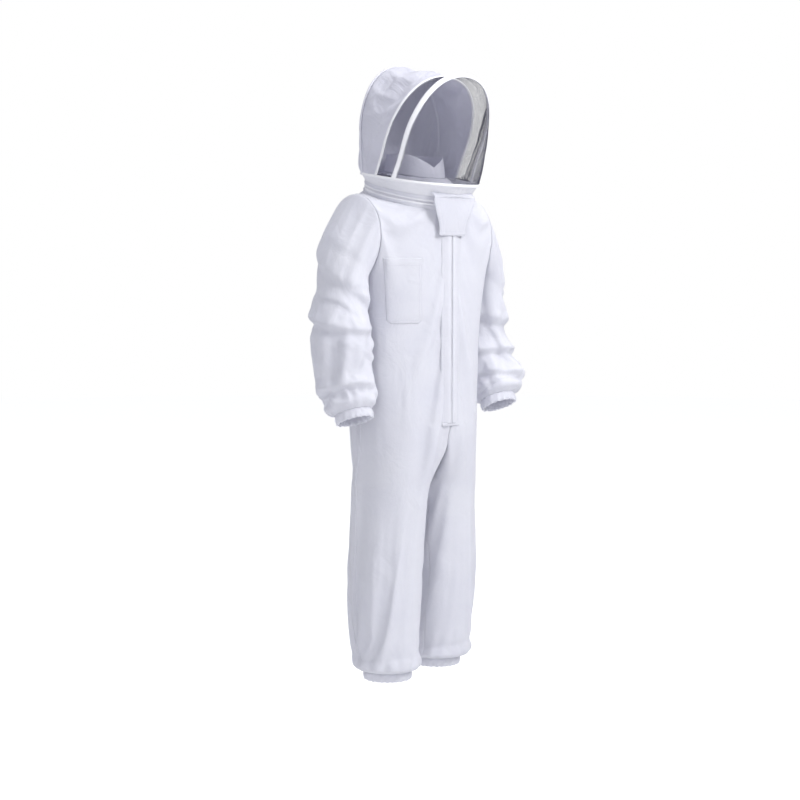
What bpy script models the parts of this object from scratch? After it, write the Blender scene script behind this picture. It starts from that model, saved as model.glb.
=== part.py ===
# Beekeeping suit with a round fencing-style hood, as worn: a cotton coverall with
# elasticated wrists and ankles, a hood that zips on round the neck and is held open
# by three sprung hoops, a net veil, and a throat flap over the meeting of the zips.
#
# Axes: +Z up, -Y the wearer's front, +X the wearer's left.  Helper points are written
# (x, f, z) with f = forward and z = height above the floor, and P() turns them into
# the part's own frame, whose origin is the middle of the neck at shoulder height.
import math

import bmesh
import bpy
from mathutils import Vector
from mathutils.bvhtree import BVHTree

# ------------------------------------------------------------------ dimensions (m)
SHOULDER_Z = 1.470          # origin above the floor the wearer stands on
CLOTH = 0.0020              # cotton, with its seams and air, as one shell
NET = 0.0012                # polyester veil net
GAP = 0.0003                # each panel stops this short of its seam line

FRONT_F = 0.160             # centre front, straight, so the zip runs in a line
ZIP_BOTTOM, ZIP_TOP = 0.856, 1.444
ZIP_SLOT = 0.0185           # half the slot that the front zip is sewn into
SLIDER_REST_Z = 1.435
# body rings: height, half width, front depth, back depth, squareness
BODY = [
    (0.800, 0.196, FRONT_F, 0.136, 2.35),
    (0.832, 0.198, FRONT_F, 0.139, 2.35),
    (0.856, 0.199, FRONT_F, 0.141, 2.35),
    (0.930, 0.201, FRONT_F, 0.143, 2.35),
    (1.000, 0.200, FRONT_F, 0.139, 2.35),
    (1.070, 0.198, FRONT_F, 0.133, 2.40),
    (1.140, 0.199, FRONT_F, 0.130, 2.40),
    (1.200, 0.202, FRONT_F, 0.130, 2.45),
    (1.250, 0.2055, FRONT_F, 0.130, 2.50),
]
N_QUARTER = 8               # facets from centre front to the side seam
N_UPPER = 8                 # rows from the chest to the shoulder seam

ARM_X = 0.2070              # armholes are circles in the planes x = +-ARM_X
ARM_F, ARM_Z, ARM_R = -0.010, 1.375, 0.115

NECK_TILT = math.radians(14.0)   # neck zip lies in a plane that dips to the front
NECK_F, NECK_Z, NECK_R = 0.016, 1.4975, 0.152
TAPE_H = 0.0145             # each half of the neck zip is this tall
PANEL_H = 0.0162            # the panels stop this far below the meeting line

CUFF_LEN = 0.022
WRIST_R, ANKLE_R = 0.0515, 0.0680

FLAP_TOP_W = 0.140
FLAP_W, FLAP_TOP, FLAP_BOTTOM = 0.098, (0.1745, 1.478), (0.1660, 1.374)

for old in list(bpy.data.objects):
    bpy.data.objects.remove(old, do_unlink=True)


# ------------------------------------------------------------------ helpers
def P(x, f, z):
    return Vector((x, -f, z - SHOULDER_Z))


def spow(v, e):
    return math.copysign(abs(v) ** e, v)


def lerp(a, b, t):
    return a + (b - a) * t


def table(rows, z):
    """Straight interpolation in a table sorted by its first column."""
    if z <= rows[0][0]:
        return rows[0][1:]
    for lo, hi in zip(rows, rows[1:]):
        if z <= hi[0]:
            t = (z - lo[0]) / (hi[0] - lo[0])
            return tuple(lerp(p, q, t) for p, q in zip(lo[1:], hi[1:]))
    return rows[-1][1:]


def material(name, colour, roughness, metallic=0.0):
    m = bpy.data.materials.get(name)
    if m is None:
        m = bpy.data.materials.new(name)
        m.use_nodes = True
        b = m.node_tree.nodes["Principled BSDF"]
        b.inputs["Base Color"].default_value = (*colour, 1.0)
        b.inputs["Roughness"].default_value = roughness
        b.inputs["Metallic"].default_value = metallic
        m.diffuse_color = (*colour, 1.0)
    return m


COTTON = ("white_cotton", (0.80, 0.80, 0.86), 0.85)
LINING = ("white_lining", (0.74, 0.74, 0.82), 0.88)
VEIL = ("veil_net", (0.10, 0.10, 0.13), 0.70)
TAPE = ("zip_tape", (0.82, 0.82, 0.87), 0.75)
COIL = ("zip_coil", (0.84, 0.84, 0.88), 0.35)
METAL = ("slider_metal", (0.80, 0.80, 0.82), 0.30, 1.0)
SPRING = ("spring_steel", (0.45, 0.45, 0.47), 0.35, 1.0)
RUBBER = ("elastic", (0.85, 0.85, 0.86), 0.80)
VELCRO = ("hook_and_loop", (0.86, 0.86, 0.90), 0.95)


def make(name, verts, faces, mat, origin=None):
    """One named object; its origin is on the joint axis where it has one."""
    o = Vector(origin) if origin is not None else Vector((0, 0, 0))
    me = bpy.data.meshes.new(name)
    me.from_pydata([tuple(Vector(v) - o) for v in verts], [], faces)
    me.materials.append(material(*mat))
    ob = bpy.data.objects.new(name, me)
    ob.location = o
    bpy.context.scene.collection.objects.link(ob)
    bm = bmesh.new()
    bm.from_mesh(me)
    bmesh.ops.recalc_face_normals(bm, faces=bm.faces)
    if bm.calc_volume(signed=True) < 0:
        bmesh.ops.reverse_faces(bm, faces=bm.faces)
    bm.to_mesh(me)
    bm.free()
    me.shade_smooth()
    me.set_sharp_from_angle(angle=math.radians(40))
    return ob


class Skin:
    """A single-layer surface of labelled quads, which solid() thickens inwards."""

    def __init__(self):
        self.v, self.f, self.tag, self.where, self.fixed = [], [], [], {}, {}

    def point(self, p):
        key = tuple(round(c * 2e5) for c in p)
        if key not in self.where:
            self.where[key] = len(self.v)
            self.v.append(Vector(p))
        return self.where[key]

    def grid(self, rows, tag, inside, closed=False, skip=()):
        idx = [[self.point(p) for p in row] for row in rows]
        quads, sign = [], 0.0
        for j in range(len(idx) - 1):
            if j in skip:
                continue
            n = len(idx[j])
            for i in range(n if closed else n - 1):
                k = (i + 1) % n
                q = [idx[j][i], idx[j][k], idx[j + 1][k], idx[j + 1][i]]
                q = [a for m, a in enumerate(q) if a != q[m - 1]]
                if len(q) < 3:
                    continue
                quads.append(q)
                a, b, c = (self.v[m] for m in q[:3])
                sign += (b - a).cross(c - a).dot((a + b + c) / 3 - Vector(inside))
        for q in quads:
            self.f.append(q if sign > 0 else q[::-1])
            self.tag.append(tag)
        return idx

    def normals(self):
        out = [Vector((0, 0, 0)) for _ in self.v]
        for q in self.f:
            n = len(q)
            for m in range(n):
                a, b, c = self.v[q[m - 1]], self.v[q[m]], self.v[q[(m + 1) % n]]
                w = (a - b).cross(c - b)
                if w.length > 0:
                    out[q[m]] -= w.normalized() * (a - b).angle(c - b, 0.0)
        return [self.fixed.get(i, n.normalized() if n.length > 0 else n) for i, n in enumerate(out)]

    def solid(self, name, tag, thick, mat, gap=GAP, lift=0.0):
        nrm = self.normals()
        faces = [q for q, t in zip(self.f, self.tag) if t == tag]
        used = sorted({i for q in faces for i in q})
        new = {i: k for k, i in enumerate(used)}
        edges, owner = {}, {}
        for q in faces:
            for m in range(len(q)):
                e = (q[m - 1], q[m])
                edges[e] = q
        rim = {e: q for e, q in edges.items() if (e[1], e[0]) not in edges}
        into = {}
        for (a, b), q in rim.items():
            fn = Vector((0, 0, 0))
            for m in range(1, len(q) - 1):
                fn += (self.v[q[m]] - self.v[q[0]]).cross(self.v[q[m + 1]] - self.v[q[0]])
            d = fn.normalized().cross((self.v[b] - self.v[a]).normalized())
            into.setdefault(a, []).append(d)
            into.setdefault(b, []).append(d)
        top, low = [], []
        for i in used:
            shift = Vector((0, 0, 0))
            if i in into:
                d = into[i]
                s = sum(d, Vector((0, 0, 0)))
                s = s / len(d)
                shift = s * (gap / max(s.length_squared, 0.25))
            base = self.v[i] + shift
            top.append(base + nrm[i] * lift)
            low.append(base + nrm[i] * (lift - thick))
        n = len(used)
        out = [[new[i] for i in q] for q in faces]
        out += [[new[i] + n for i in reversed(q)] for q in faces]
        out += [[new[b], new[a], new[a] + n, new[b] + n] for a, b in rim]
        return make(name, top + low, out, mat)


def box(name, x, f, z, mat):
    v = [P(a, b, c) for c in z for b in f for a in x]
    q = [(0, 1, 3, 2), (4, 6, 7, 5), (0, 4, 5, 1), (2, 3, 7, 6), (0, 2, 6, 4), (1, 5, 7, 3)]
    return make(name, v, q, mat)


def join_union(base, others):
    """Boolean union of overlapping solids into base; the others are removed."""
    for o in others:
        mod = base.modifiers.new("union", "BOOLEAN")
        mod.operation, mod.solver, mod.object = "UNION", "EXACT", o
        bpy.context.view_layer.update()
        me = bpy.data.meshes.new_from_object(base.evaluated_get(bpy.context.evaluated_depsgraph_get()))
        base.modifiers.clear()
        mat = base.data.materials[0]
        base.data = me
        if not me.materials:
            me.materials.append(mat)
        bpy.data.objects.remove(o, do_unlink=True)
    return base


def ring_solid(name, frame, n, profile, mat, scale=lambda a: 1.0, phase=0.0):
    """A closed ring: profile is a polygon of (radius, height) turned about frame's axis."""
    c, ex, ey, ez = frame
    verts, faces, m = [], [], len(profile)
    for i in range(n):
        a = 2 * math.pi * i / n + phase
        d = ex * math.sin(a) + ey * math.cos(a)
        for r, h in profile:
            verts.append(c + d * (r * scale(a)) + ez * h)
    for i in range(n):
        k = (i + 1) % n
        for j in range(m):
            l = (j + 1) % m
            faces.append([i * m + j, i * m + l, k * m + l, k * m + j])
    return make(name, verts, faces, mat)


def tube(name, path, radius, sides, mat, bore=None):
    """A round bar along path, or with bore, a sleeve that is open at both ends."""
    verts, faces, n = [], [], len(path)
    frames, up = [], None
    for i, p in enumerate(path):
        t = (path[min(i + 1, n - 1)] - path[max(i - 1, 0)]).normalized()
        if up is None:
            up = t.orthogonal().normalized()
        up = (up - t * up.dot(t)).normalized()
        frames.append((p, up.copy(), t.cross(up)))
    for r in [radius] + ([bore] if bore else []):
        for p, a, b in frames:
            for k in range(sides):
                w = 2 * math.pi * k / sides
                verts.append(p + (a * math.cos(w) + b * math.sin(w)) * r)
    for s in range(2 if bore else 1):
        off = s * n * sides
        for i in range(n - 1):
            for k in range(sides):
                l = (k + 1) % sides
                q = [off + i * sides + k, off + i * sides + l, off + (i + 1) * sides + l, off + (i + 1) * sides + k]
                faces.append(q if s == 0 else q[::-1])
    if bore:
        for i, flip in ((0, False), (n - 1, True)):
            for k in range(sides):
                l = (k + 1) % sides
                q = [i * sides + k, n * sides + i * sides + k, n * sides + i * sides + l, i * sides + l]
                faces.append(q[::-1] if flip else q)
    else:
        faces.append(list(range(sides)))
        faces.append([(n - 1) * sides + k for k in reversed(range(sides))])
    return make(name, verts, faces, mat)


# ------------------------------------------------------------------ neck zip ring
NECK_C = P(0, NECK_F, NECK_Z)
EX = Vector((1, 0, 0))
EF = Vector((0, -math.cos(NECK_TILT), -math.sin(NECK_TILT)))    # in the plane, forward
EN = Vector((0, -math.sin(NECK_TILT), math.cos(NECK_TILT)))     # the ring's axis
NECK = (NECK_C, EX, EF, EN)


def neck(angle, h=0.0, r=NECK_R):
    """A point of the neck ring: angle from centre front, positive to the wearer's left."""
    return NECK_C + (EX * math.sin(angle) + EF * math.cos(angle)) * r + EN * h


# ------------------------------------------------------------------ body and legs
def body_point(z, angle, start=0.0):
    """The body's ring at height z: angle 0 is centre front, pi/2 the side, pi centre back."""
    a, bf, bb, n = table(BODY, z)
    x = a * spow(math.sin(angle), 2 / n)
    f = (bf if math.cos(angle) >= 0 else bb) * spow(math.cos(angle), 2 / n)
    return max(x, start), f


def quarter(z, front, start=0.0):
    """Points from centre to side seam along a body ring, evenly spaced in angle."""
    out = []
    a, bf, bb, n = table(BODY, z)
    a0 = math.asin(min(1.0, (start / a) ** (n / 2))) if start > 0 else 0.0
    for i in range(N_QUARTER + 1):
        t = lerp(a0, math.pi / 2, i / N_QUARTER)
        x, f = body_point(z, t if front else math.pi - t)
        out.append((x, f, z))
    return out


def arm_circle(angle):
    """Armhole: angle 0 is the underarm, positive towards the front, pi is the shoulder."""
    return Vector((ARM_X, ARM_F + ARM_R * math.sin(angle), ARM_Z - ARM_R * math.cos(angle)))


def upper_rows(front):
    """Rows from the chest ring to the shoulder seam, centre edge to armhole edge."""
    z0 = BODY[-1][0]
    start = ZIP_SLOT if front else 0.0
    d0 = [Vector(p) for p in quarter(z0, front, start)]
    d0[-1] = arm_circle(0.0)
    a0 = math.asin(start / NECK_R) if front else math.pi
    inner, outer = [], []
    split = 0.40
    edge = neck(a0, -PANEL_H)
    for j in range(N_UPPER + 1):
        v = j / N_UPPER
        if v <= split:
            t = v / split
            f1, z1 = -edge.y, edge.z + SHOULDER_Z
            inner.append(Vector((d0[0].x, lerp(d0[0].y, f1, t ** 2), lerp(z0, z1, t))))
        else:
            t = (v - split) / (1 - split)
            q = neck(lerp(a0, math.pi / 2, t), -PANEL_H)
            inner.append(Vector((q.x, -q.y, q.z + SHOULDER_Z)))
        outer.append(arm_circle(math.pi * v if front else -math.pi * v))
    d1 = [inner[-1].lerp(outer[-1], i / N_QUARTER) for i in range(N_QUARTER + 1)]
    for i, p in enumerate(d1):
        p.z += 0.004 * math.sin(math.pi * i / N_QUARTER)
    rows = []
    for j in range(N_UPPER + 1):
        v = j / N_UPPER
        w0, w1 = (1 - v) ** 2.2, v ** 2.2
        row = []
        for i in range(N_QUARTER + 1):
            u = i / N_QUARTER
            p = inner[j].lerp(outer[j], u)
            p = p + (d0[i] - d0[0].lerp(d0[-1], u)) * w0 + (d1[i] - d1[0].lerp(d1[-1], u)) * w1
            row.append(p)
        rows.append(row)
    return rows


suit = Skin()
MID = P(0, 0, 1.1)
bottom = {}
for side in (1, -1):
    for front in (True, False):
        rows = []
        for k, ring in enumerate(BODY[:-1]):
            start = ZIP_SLOT if front and ring[0] >= ZIP_BOTTOM else 0.0
            rows.append([P(side * x, f, z) for x, f, z in quarter(ring[0], front, start)])
        bottom[side, front] = rows[0]
        rows += [[P(side * p.x, p.y, p.z) for p in row] for row in upper_rows(front)]
        tag = ("front_left" if side > 0 else "front_right") if front else "back"
        suit.grid(rows, tag, MID)

# trouser legs: height, centre x, centre f, half width, half depth
LEGS = {
    -1: [(0.720, 0.100, 0.010, 0.0955, 0.128), (0.620, 0.1035, 0.012, 0.0975, 0.114),
         (0.500, 0.114, 0.014, 0.0970, 0.104), (0.400, 0.122, 0.014, 0.0955, 0.101),
         (0.300, 0.125, 0.016, 0.0930, 0.099), (0.235, 0.125, 0.020, 0.0910, 0.097),
         (0.190, 0.123, 0.024, 0.0865, 0.091), (0.162, 0.121, 0.026, 0.0790, 0.082),
         (0.1445, 0.120, 0.027, 0.0675, 0.0675)],
    1: [(0.720, 0.100, 0.004, 0.0955, 0.128), (0.620, 0.1035, 0.000, 0.0975, 0.114),
        (0.500, 0.115, -0.004, 0.0970, 0.104), (0.400, 0.123, -0.010, 0.0955, 0.101),
        (0.300, 0.125, -0.018, 0.0930, 0.099), (0.235, 0.124, -0.026, 0.0910, 0.097),
        (0.190, 0.122, -0.031, 0.0865, 0.091), (0.162, 0.121, -0.034, 0.0790, 0.082),
        (0.1445, 0.120, -0.036, 0.0675, 0.0675)],
}
N_CROTCH = 6
for side in (1, -1):
    fr, bk = bottom[side, True], bottom[side, False]
    top = list(fr) + list(reversed(bk))[1:]
    a, b = bk[0], fr[0]
    for k in range(1, N_CROTCH):
        t = k / N_CROTCH
        p = a.lerp(b, t)
        p.z -= 0.022 * math.sin(math.pi * t) ** 0.8
        top.append(p)
    n = len(top)
    rows = [top]
    cx, cf = side * 0.096, 0.012
    raw = [math.atan2(p.x - cx, -p.y - cf) for p in top]
    first = raw[0]
    turn = [((r - first) * side) % (2 * math.pi) for r in raw]
    even = [2 * math.pi * k / n for k in range(n)]
    ang = [first * side + lerp(t, e, 0.5) for t, e in zip(turn, even)]
    ell = []
    for z, x0, f0, ra, rb in LEGS[side]:
        ell.append([P(side * x0 + side * ra * math.sin(w), f0 + rb * math.cos(w), z) for w in ang])
    rows.append([Vector((lerp(p.x, q.x, 0.5), lerp(p.y, q.y, 0.5), lerp(p.z, q.z, 0.5))) for p, q in zip(top, ell[0])])
    rows += ell
    suit.grid(rows, "leg_left" if side > 0 else "leg_right", P(side * 0.11, 0, 0.45), closed=True)

suit.solid("front_body_left", "front_left", CLOTH, COTTON)
suit.solid("front_body_right", "front_right", CLOTH, COTTON)
suit.solid("back_body", "back", CLOTH, COTTON)
suit.solid("trouser_leg_left", "leg_left", CLOTH, COTTON)
suit.solid("trouser_leg_right", "leg_right", CLOTH, COTTON)
BODY_TREE = BVHTree.FromPolygons(suit.v, suit.f)


def applied(name, origin, direction, us, vs, lift, thick, mat):
    """A patch that lies on the body: rays from origin(u, v) along direction(u, v)."""
    rows, back = [], []
    for v in vs:
        r0, r1 = [], []
        for u in us:
            hit, nrm, _, _ = BODY_TREE.ray_cast(origin(u, v), direction(u, v))
            if nrm.dot(direction(u, v)) * (1 if name == "chest_pocket" else -1) < 0:
                nrm = -nrm
            r0.append(hit + nrm * (lift + thick))
            r1.append(hit + nrm * lift)
        rows.append(r0)
        back.append(r1)
    nu, nv = len(us), len(vs)
    verts = [p for r in rows for p in r] + [p for r in back for p in r]
    n, faces = nu * nv, []
    for j in range(nv - 1):
        for i in range(nu - 1):
            q = [j * nu + i, j * nu + i + 1, (j + 1) * nu + i + 1, (j + 1) * nu + i]
            faces += [q, [a + n for a in reversed(q)]]
    rim = [j * nu for j in range(nv)] + [(nv - 1) * nu + i for i in range(1, nu)]
    rim += [j * nu + nu - 1 for j in reversed(range(nv - 1))] + [i for i in reversed(range(1, nu - 1))]
    for a, b in zip(rim, rim[1:] + rim[:1]):
        faces.append([a, b, b + n, a + n])
    return make(name, verts, faces, mat)


# chest pocket on the wearer's right, a patch sewn on round the side of the chest
POCKET_ANGLE, POCKET_Z = (-32.5, -63.0), (1.130, 1.312)
applied("chest_pocket",
        lambda u, v: P(0, 0, v),
        lambda u, v: Vector((math.sin(math.radians(u)), -math.cos(math.radians(u)), 0)),
        [lerp(*POCKET_ANGLE, k / 6) for k in range(7)],
        [lerp(*POCKET_Z, k / 6) for k in range(7)], 0.0011, 0.0020, COTTON)

# ------------------------------------------------------------------ front zip
for side, word in ((1, "left"), (-1, "right")):
    def sx(a, b):
        return (a, b) if side > 0 else (-b, -a)
    z = (ZIP_BOTTOM, ZIP_TOP)
    box("front_zip_tape_" + word, sx(0.0035, 0.0180), (FRONT_F - 0.0016, FRONT_F - 0.0008), z, TAPE)
    box("front_zip_coil_" + word, sx(0.0005, 0.0032), (FRONT_F - 0.0020, FRONT_F - 0.0001), z, COIL)
box("front_zip_bottom_stop", (-0.0045, 0.0045), (FRONT_F - 0.0026, FRONT_F + 0.0004), (0.8490, 0.8556), METAL)

zs, ff = SLIDER_REST_Z, FRONT_F
slider_at = P(0, ff, zs)
body = box("front_zip_slider", (-0.0050, 0.0050), (ff + 0.0004, ff + 0.0016), (zs - 0.007, zs + 0.007), METAL)
parts = [
    box("s1", (-0.0050, 0.0050), (ff - 0.0036, ff - 0.0024), (zs - 0.007, zs + 0.007), METAL),
    box("s2", (-0.00018, 0.00018), (ff - 0.0030, ff + 0.0010), (zs + 0.001, zs + 0.0069), METAL),
    box("s3", (0.0036, 0.0046), (ff + 0.0010, ff + 0.0044), (zs + 0.0012, zs + 0.0048), METAL),
    box("s4", (-0.0046, -0.0036), (ff + 0.0010, ff + 0.0044), (zs + 0.0012, zs + 0.0048), METAL),
    tube("s5", [P(-0.0041, ff + 0.0034, zs + 0.003), P(0.0041, ff + 0.0034, zs + 0.003)], 0.0006, 10, METAL),
]
join_union(body, parts)
PULL_AXIS = (ff + 0.0034, zs + 0.003)
knuckle = tube("front_zip_pull", [P(-0.0031, *PULL_AXIS), P(0.0031, *PULL_AXIS)], 0.0017, 12, METAL, bore=0.0011)
tab = box("tab", (-0.0030, 0.0030), (PULL_AXIS[0] - 0.0005, PULL_AXIS[0] + 0.0005), (zs - 0.019, zs + 0.0017), METAL)
join_union(knuckle, [tab])

# ------------------------------------------------------------------ neck zip
N_RING = 48
ring_solid("neck_zip_tape_suit", NECK, N_RING, [(NECK_R - 0.0004, -0.0142), (NECK_R + 0.0004, -0.0142), (NECK_R + 0.0004, -0.0031), (NECK_R - 0.0004, -0.0031)], TAPE)
ring_solid("neck_zip_coil_suit", NECK, N_RING, [(NECK_R - 0.0009, -0.0028), (NECK_R + 0.0009, -0.0028), (NECK_R + 0.0009, -0.0005), (NECK_R - 0.0009, -0.0005)], COIL)
ring_solid("neck_zip_coil_hood", NECK, N_RING, [(NECK_R - 0.0009, 0.0005), (NECK_R + 0.0009, 0.0005), (NECK_R + 0.0009, 0.0028), (NECK_R - 0.0009, 0.0028)], COIL)
ring_solid("neck_zip_tape_hood", NECK, N_RING, [(NECK_R - 0.0004, 0.0031), (NECK_R + 0.0004, 0.0031), (NECK_R + 0.0004, 0.0142), (NECK_R - 0.0004, 0.0142)], TAPE)


def neck_box(name, angle, r, t, h):
    """A box on the neck ring: r radial, t along the ring, h along its axis."""
    d = EX * math.sin(angle) + EF * math.cos(angle)
    s = EX * math.cos(angle) - EF * math.sin(angle)
    v = [NECK_C + d * (NECK_R + a) + s * b + EN * c for c in h for b in t for a in r]
    q = [(0, 1, 3, 2), (4, 6, 7, 5), (0, 4, 5, 1), (2, 3, 7, 6), (0, 2, 6, 4), (1, 5, 7, 3)]
    return make(name, v, q, METAL)


for side, word in ((1, "left"), (-1, "right")):
    w = side * math.radians(5.0)
    body = neck_box("neck_slider_" + word, w, (0.0016, 0.0028), (-0.006, 0.006), (-0.0045, 0.0045))
    tail = (-0.005, 0.0165) if side > 0 else (-0.0165, 0.005)
    join_union(body, [
        neck_box("n1", w, (-0.0028, -0.0016), (-0.006, 0.006), (-0.0045, 0.0045)),
        neck_box("n2", w, (-0.0020, 0.0020), (-0.0015, 0.0015), (-0.00018, 0.00018)),
        neck_box("n3", w, (0.0024, 0.0044), tail, (-0.0016, 0.0016)),
    ])

# ------------------------------------------------------------------ inner yoke and collar
N_YOKE = 28
yoke = Skin()
COLLAR_F = 0.004


def collar_point(angle, r, z):
    return P(r * math.sin(angle), COLLAR_F + 1.04 * r * math.cos(angle), z)


rows = []
for t in (0.0, 0.35, 0.7, 1.0):
    row = []
    for i in range(N_YOKE):
        a = 2 * math.pi * i / N_YOKE
        p = neck(a, -0.010, NECK_R - 0.0045)
        q = collar_point(a, 0.086, 1.552 - 0.016 * math.cos(a))
        s = p.lerp(q, t)
        s.z += 0.010 * math.sin(math.pi * t)
        row.append(s)
    rows.append(row)
yoke.grid(rows, "yoke", P(0, 0, 1.40), closed=True)
yoke.solid("inner_yoke", "yoke", 0.0016, LINING)


def collar_top(a):
    a = abs((a + math.pi) % (2 * math.pi) - math.pi)
    return 1.566 + 0.034 * min(1.0, a / 0.9) ** 0.8 + 0.010 * (1 - math.cos(a)) / 2


stand = Skin()
rows = []
for t in (0.0, 0.5, 1.0):
    row = []
    for i in range(N_YOKE):
        a = 2 * math.pi * i / N_YOKE
        z0 = 1.5532 - 0.016 * math.cos(a)
        row.append(collar_point(a, 0.086 - 0.007 * t, lerp(z0, collar_top(a), t)))
    rows.append(row)
stand.grid(rows, "collar", P(0, 0, 1.58), closed=True)
stand.solid("stand_collar", "collar", 0.0016, LINING)

# ------------------------------------------------------------------ hood
BAND_W, BAND_F0, BAND_FRONT, BAND_BACK = 0.150, 0.030, 0.175, 0.155


def band_edge(angle):
    """Top edge of the hood's lower band: angle 0 front, positive to the wearer's left."""
    c, s = math.cos(angle), math.sin(angle)
    n = 2.1 if c >= 0 else 3.0
    x = BAND_W * spow(s, 2 / n)
    f = BAND_F0 + (BAND_FRONT if c >= 0 else BAND_BACK) * spow(c, 2 / n)
    return P(x, f, 1.538 - 0.027 * (f - BAND_F0) / BAND_FRONT)


def band_angle(f):
    """The angle at which the band's edge is at forward position f."""
    lo, hi = 0.0, math.pi
    for _ in range(50):
        m = (lo + hi) / 2
        if -band_edge(m).y > f:
            lo = m
        else:
            hi = m
    return (lo + hi) / 2


ARCH = [(0.0, 1.0), (0.30, 0.978), (0.58, 0.905), (0.82, 0.76), (0.965, 0.565), (1.0, 0.385), (0.985, 0.20)]
N_HALF = 8


def arch(base_f, top_f, top_z, width):
    """A hoop's line from the wearer's right base over the top to the left base."""
    base = band_edge(band_angle(base_f))
    bx, bf, bz = base.x, -base.y, base.z + SHOULDER_Z
    pts = [(x * width, y) for x, y in ARCH] + [(bx, 0.0)]
    pts = [(-pts[1][0], pts[1][1])] + pts
    pts.append((2 * pts[-1][0] - pts[-2][0], 2 * pts[-1][1] - pts[-2][1]))
    fine = []
    for k in range(1, len(pts) - 2):
        for m in range(8):
            t = m / 8
            p = [0.5 * (2 * b + (c - a) * t + (2 * a - 5 * b + 4 * c - d) * t * t + (3 * b - a - 3 * c + d) * t ** 3)
                 for a, b, c, d in zip(*pts[k - 1:k + 3])]
            fine.append(p)
    fine.append(list(pts[-2]))
    fine = [Vector((x, lerp(bf, top_f, y), lerp(bz, top_z, y))) for x, y in fine]
    run = [0.0]
    for a, b in zip(fine, fine[1:]):
        run.append(run[-1] + (b - a).length)
    half = []
    for k in range(N_HALF + 1):
        want = run[-1] * k / N_HALF
        j = max(i for i in range(len(run)) if run[i] <= want + 1e-9)
        j = min(j, len(fine) - 2)
        t = (want - run[j]) / (run[j + 1] - run[j])
        half.append(fine[j].lerp(fine[j + 1], t))
    left = [P(*p) for p in half]
    right = [P(-p.x, p.y, p.z) for p in half[1:]]
    return right[::-1] + left


HOOPS = {
    "rear": (-0.062, -0.056, 1.858, 0.147),
    "middle": (0.010, 0.142, 1.814, 0.152),
    "front": (0.082, 0.215, 1.812, 0.143),
}
HOOP_R, HOOP_CLEAR = 0.0055, 0.0080


lines = {k: arch(*v) for k, v in HOOPS.items()}
for k, path in lines.items():
    # the casings stop just above the band, and the springs end inside them
    path = [p.copy() for p in path]
    for i, j in ((0, 1), (-1, -2)):
        path[i] = path[i].lerp(path[j], 0.30)
    tube(k + "_hoop_casing", path, HOOP_R, 6, COTTON, bore=0.0030)
    inner = [p.copy() for p in path]
    for i, j in ((0, 1), (-1, -2)):
        inner[i] = inner[i].lerp(inner[j], 0.05)
    tube(k + "_hoop_spring", inner, 0.0016, 5, SPRING)


def arc(a0, a1):
    """Points along the band's edge from -a to a through the front or the back."""
    n = 2 * N_HALF
    return [band_edge(lerp(a0, a1, k / n)) for k in range(n + 1)]


def blend_rows(first, last, ts, end0, end1, bulge):
    """Rows between two curves whose ends run along the band between two angles."""
    rows = []
    for t in ts:
        n = len(first) - 1
        row = []
        for k in range(n + 1):
            s = abs(2 * k / n - 1)
            p = first[k].lerp(last[k], t)
            out = Vector((p.x * 0.6, p.y - (-BAND_F0), 0))
            out = out.normalized() if out.length > 1e-9 else out
            p = p + out * bulge * math.sin(math.pi * t) * (1 - s ** 4)
            row.append(p)
        e = band_edge(lerp(end0, end1, t))
        w = [abs(2 * k / n - 1) for k in range(n + 1)]
        dl, dr = Vector((e.x, e.y, e.z)) - row[-1], Vector((-e.x, e.y, e.z)) - row[0]
        row = [p + (dl if k > n / 2 else dr) * w[k] ** 3 for k, p in enumerate(row)]
        rows.append(row)
    return rows


def shifted(name, shift):
    b, tf, tz, wd = HOOPS[name]
    return arch(b + shift, tf + shift, tz, wd)


hood = Skin()
HEAD = P(0, 0.05, 1.66)
aB, aC = band_angle(HOOPS["front"][0] + HOOP_CLEAR), band_angle(HOOPS["rear"][0] - HOOP_CLEAR)
front_end, rear_end = 0.62 * aB, aC + 0.42 * (math.pi - aC)
back0 = [band_edge(lerp(rear_end, 2 * math.pi - rear_end, k / (2 * N_HALF))) for k in range(2 * N_HALF + 1)][::-1]
front0 = [band_edge(lerp(-front_end, front_end, k / (2 * N_HALF))) for k in range(2 * N_HALF + 1)]
c_low, c_high = shifted("rear", -HOOP_CLEAR), shifted("rear", HOOP_CLEAR)
a_low, a_high = shifted("middle", -HOOP_CLEAR), shifted("middle", HOOP_CLEAR)
b_low, b_high = shifted("front", -HOOP_CLEAR), shifted("front", HOOP_CLEAR)
hood.grid(blend_rows(back0, c_low, [k / 5 for k in range(6)], rear_end, aC, 0.012), "hood_back", HEAD)
mids = [c_high] + [[p.lerp(q, t) + (p.lerp(q, t) - HEAD).normalized() * 0.004 * math.sin(math.pi * t) for p, q in zip(c_high, a_low)] for t in (0.2, 0.4, 0.6, 0.8)] + [a_low]
ends = [band_angle(lerp(HOOPS["rear"][0] + HOOP_CLEAR, HOOPS["middle"][0] - HOOP_CLEAR, t)) for t in (0, 0.2, 0.4, 0.6, 0.8, 1)]
for row, e in zip(mids, ends):
    q = band_edge(e)
    row[-1], row[0] = q, Vector((-q.x, q.y, q.z))
hood.grid(mids, "hood_crown", HEAD)
side_rows = [[p.lerp(q, t) for p, q in zip(a_high, b_low)] for t in (0, 0.33, 0.67, 1)]
for row, t in zip(side_rows, (0, 0.33, 0.67, 1)):
    q = band_edge(band_angle(lerp(HOOPS["middle"][0] + HOOP_CLEAR, HOOPS["front"][0] - HOOP_CLEAR, t)))
    row[-1], row[0] = q, Vector((-q.x, q.y, q.z))
hood.grid(side_rows, "side_net", HEAD)
hood.grid(blend_rows(b_high, front0, [k / 6 for k in range(7)], aB, front_end, 0.010), "front_net", HEAD)
hood.solid("hood_back_panel", "hood_back", CLOTH, COTTON)
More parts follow.
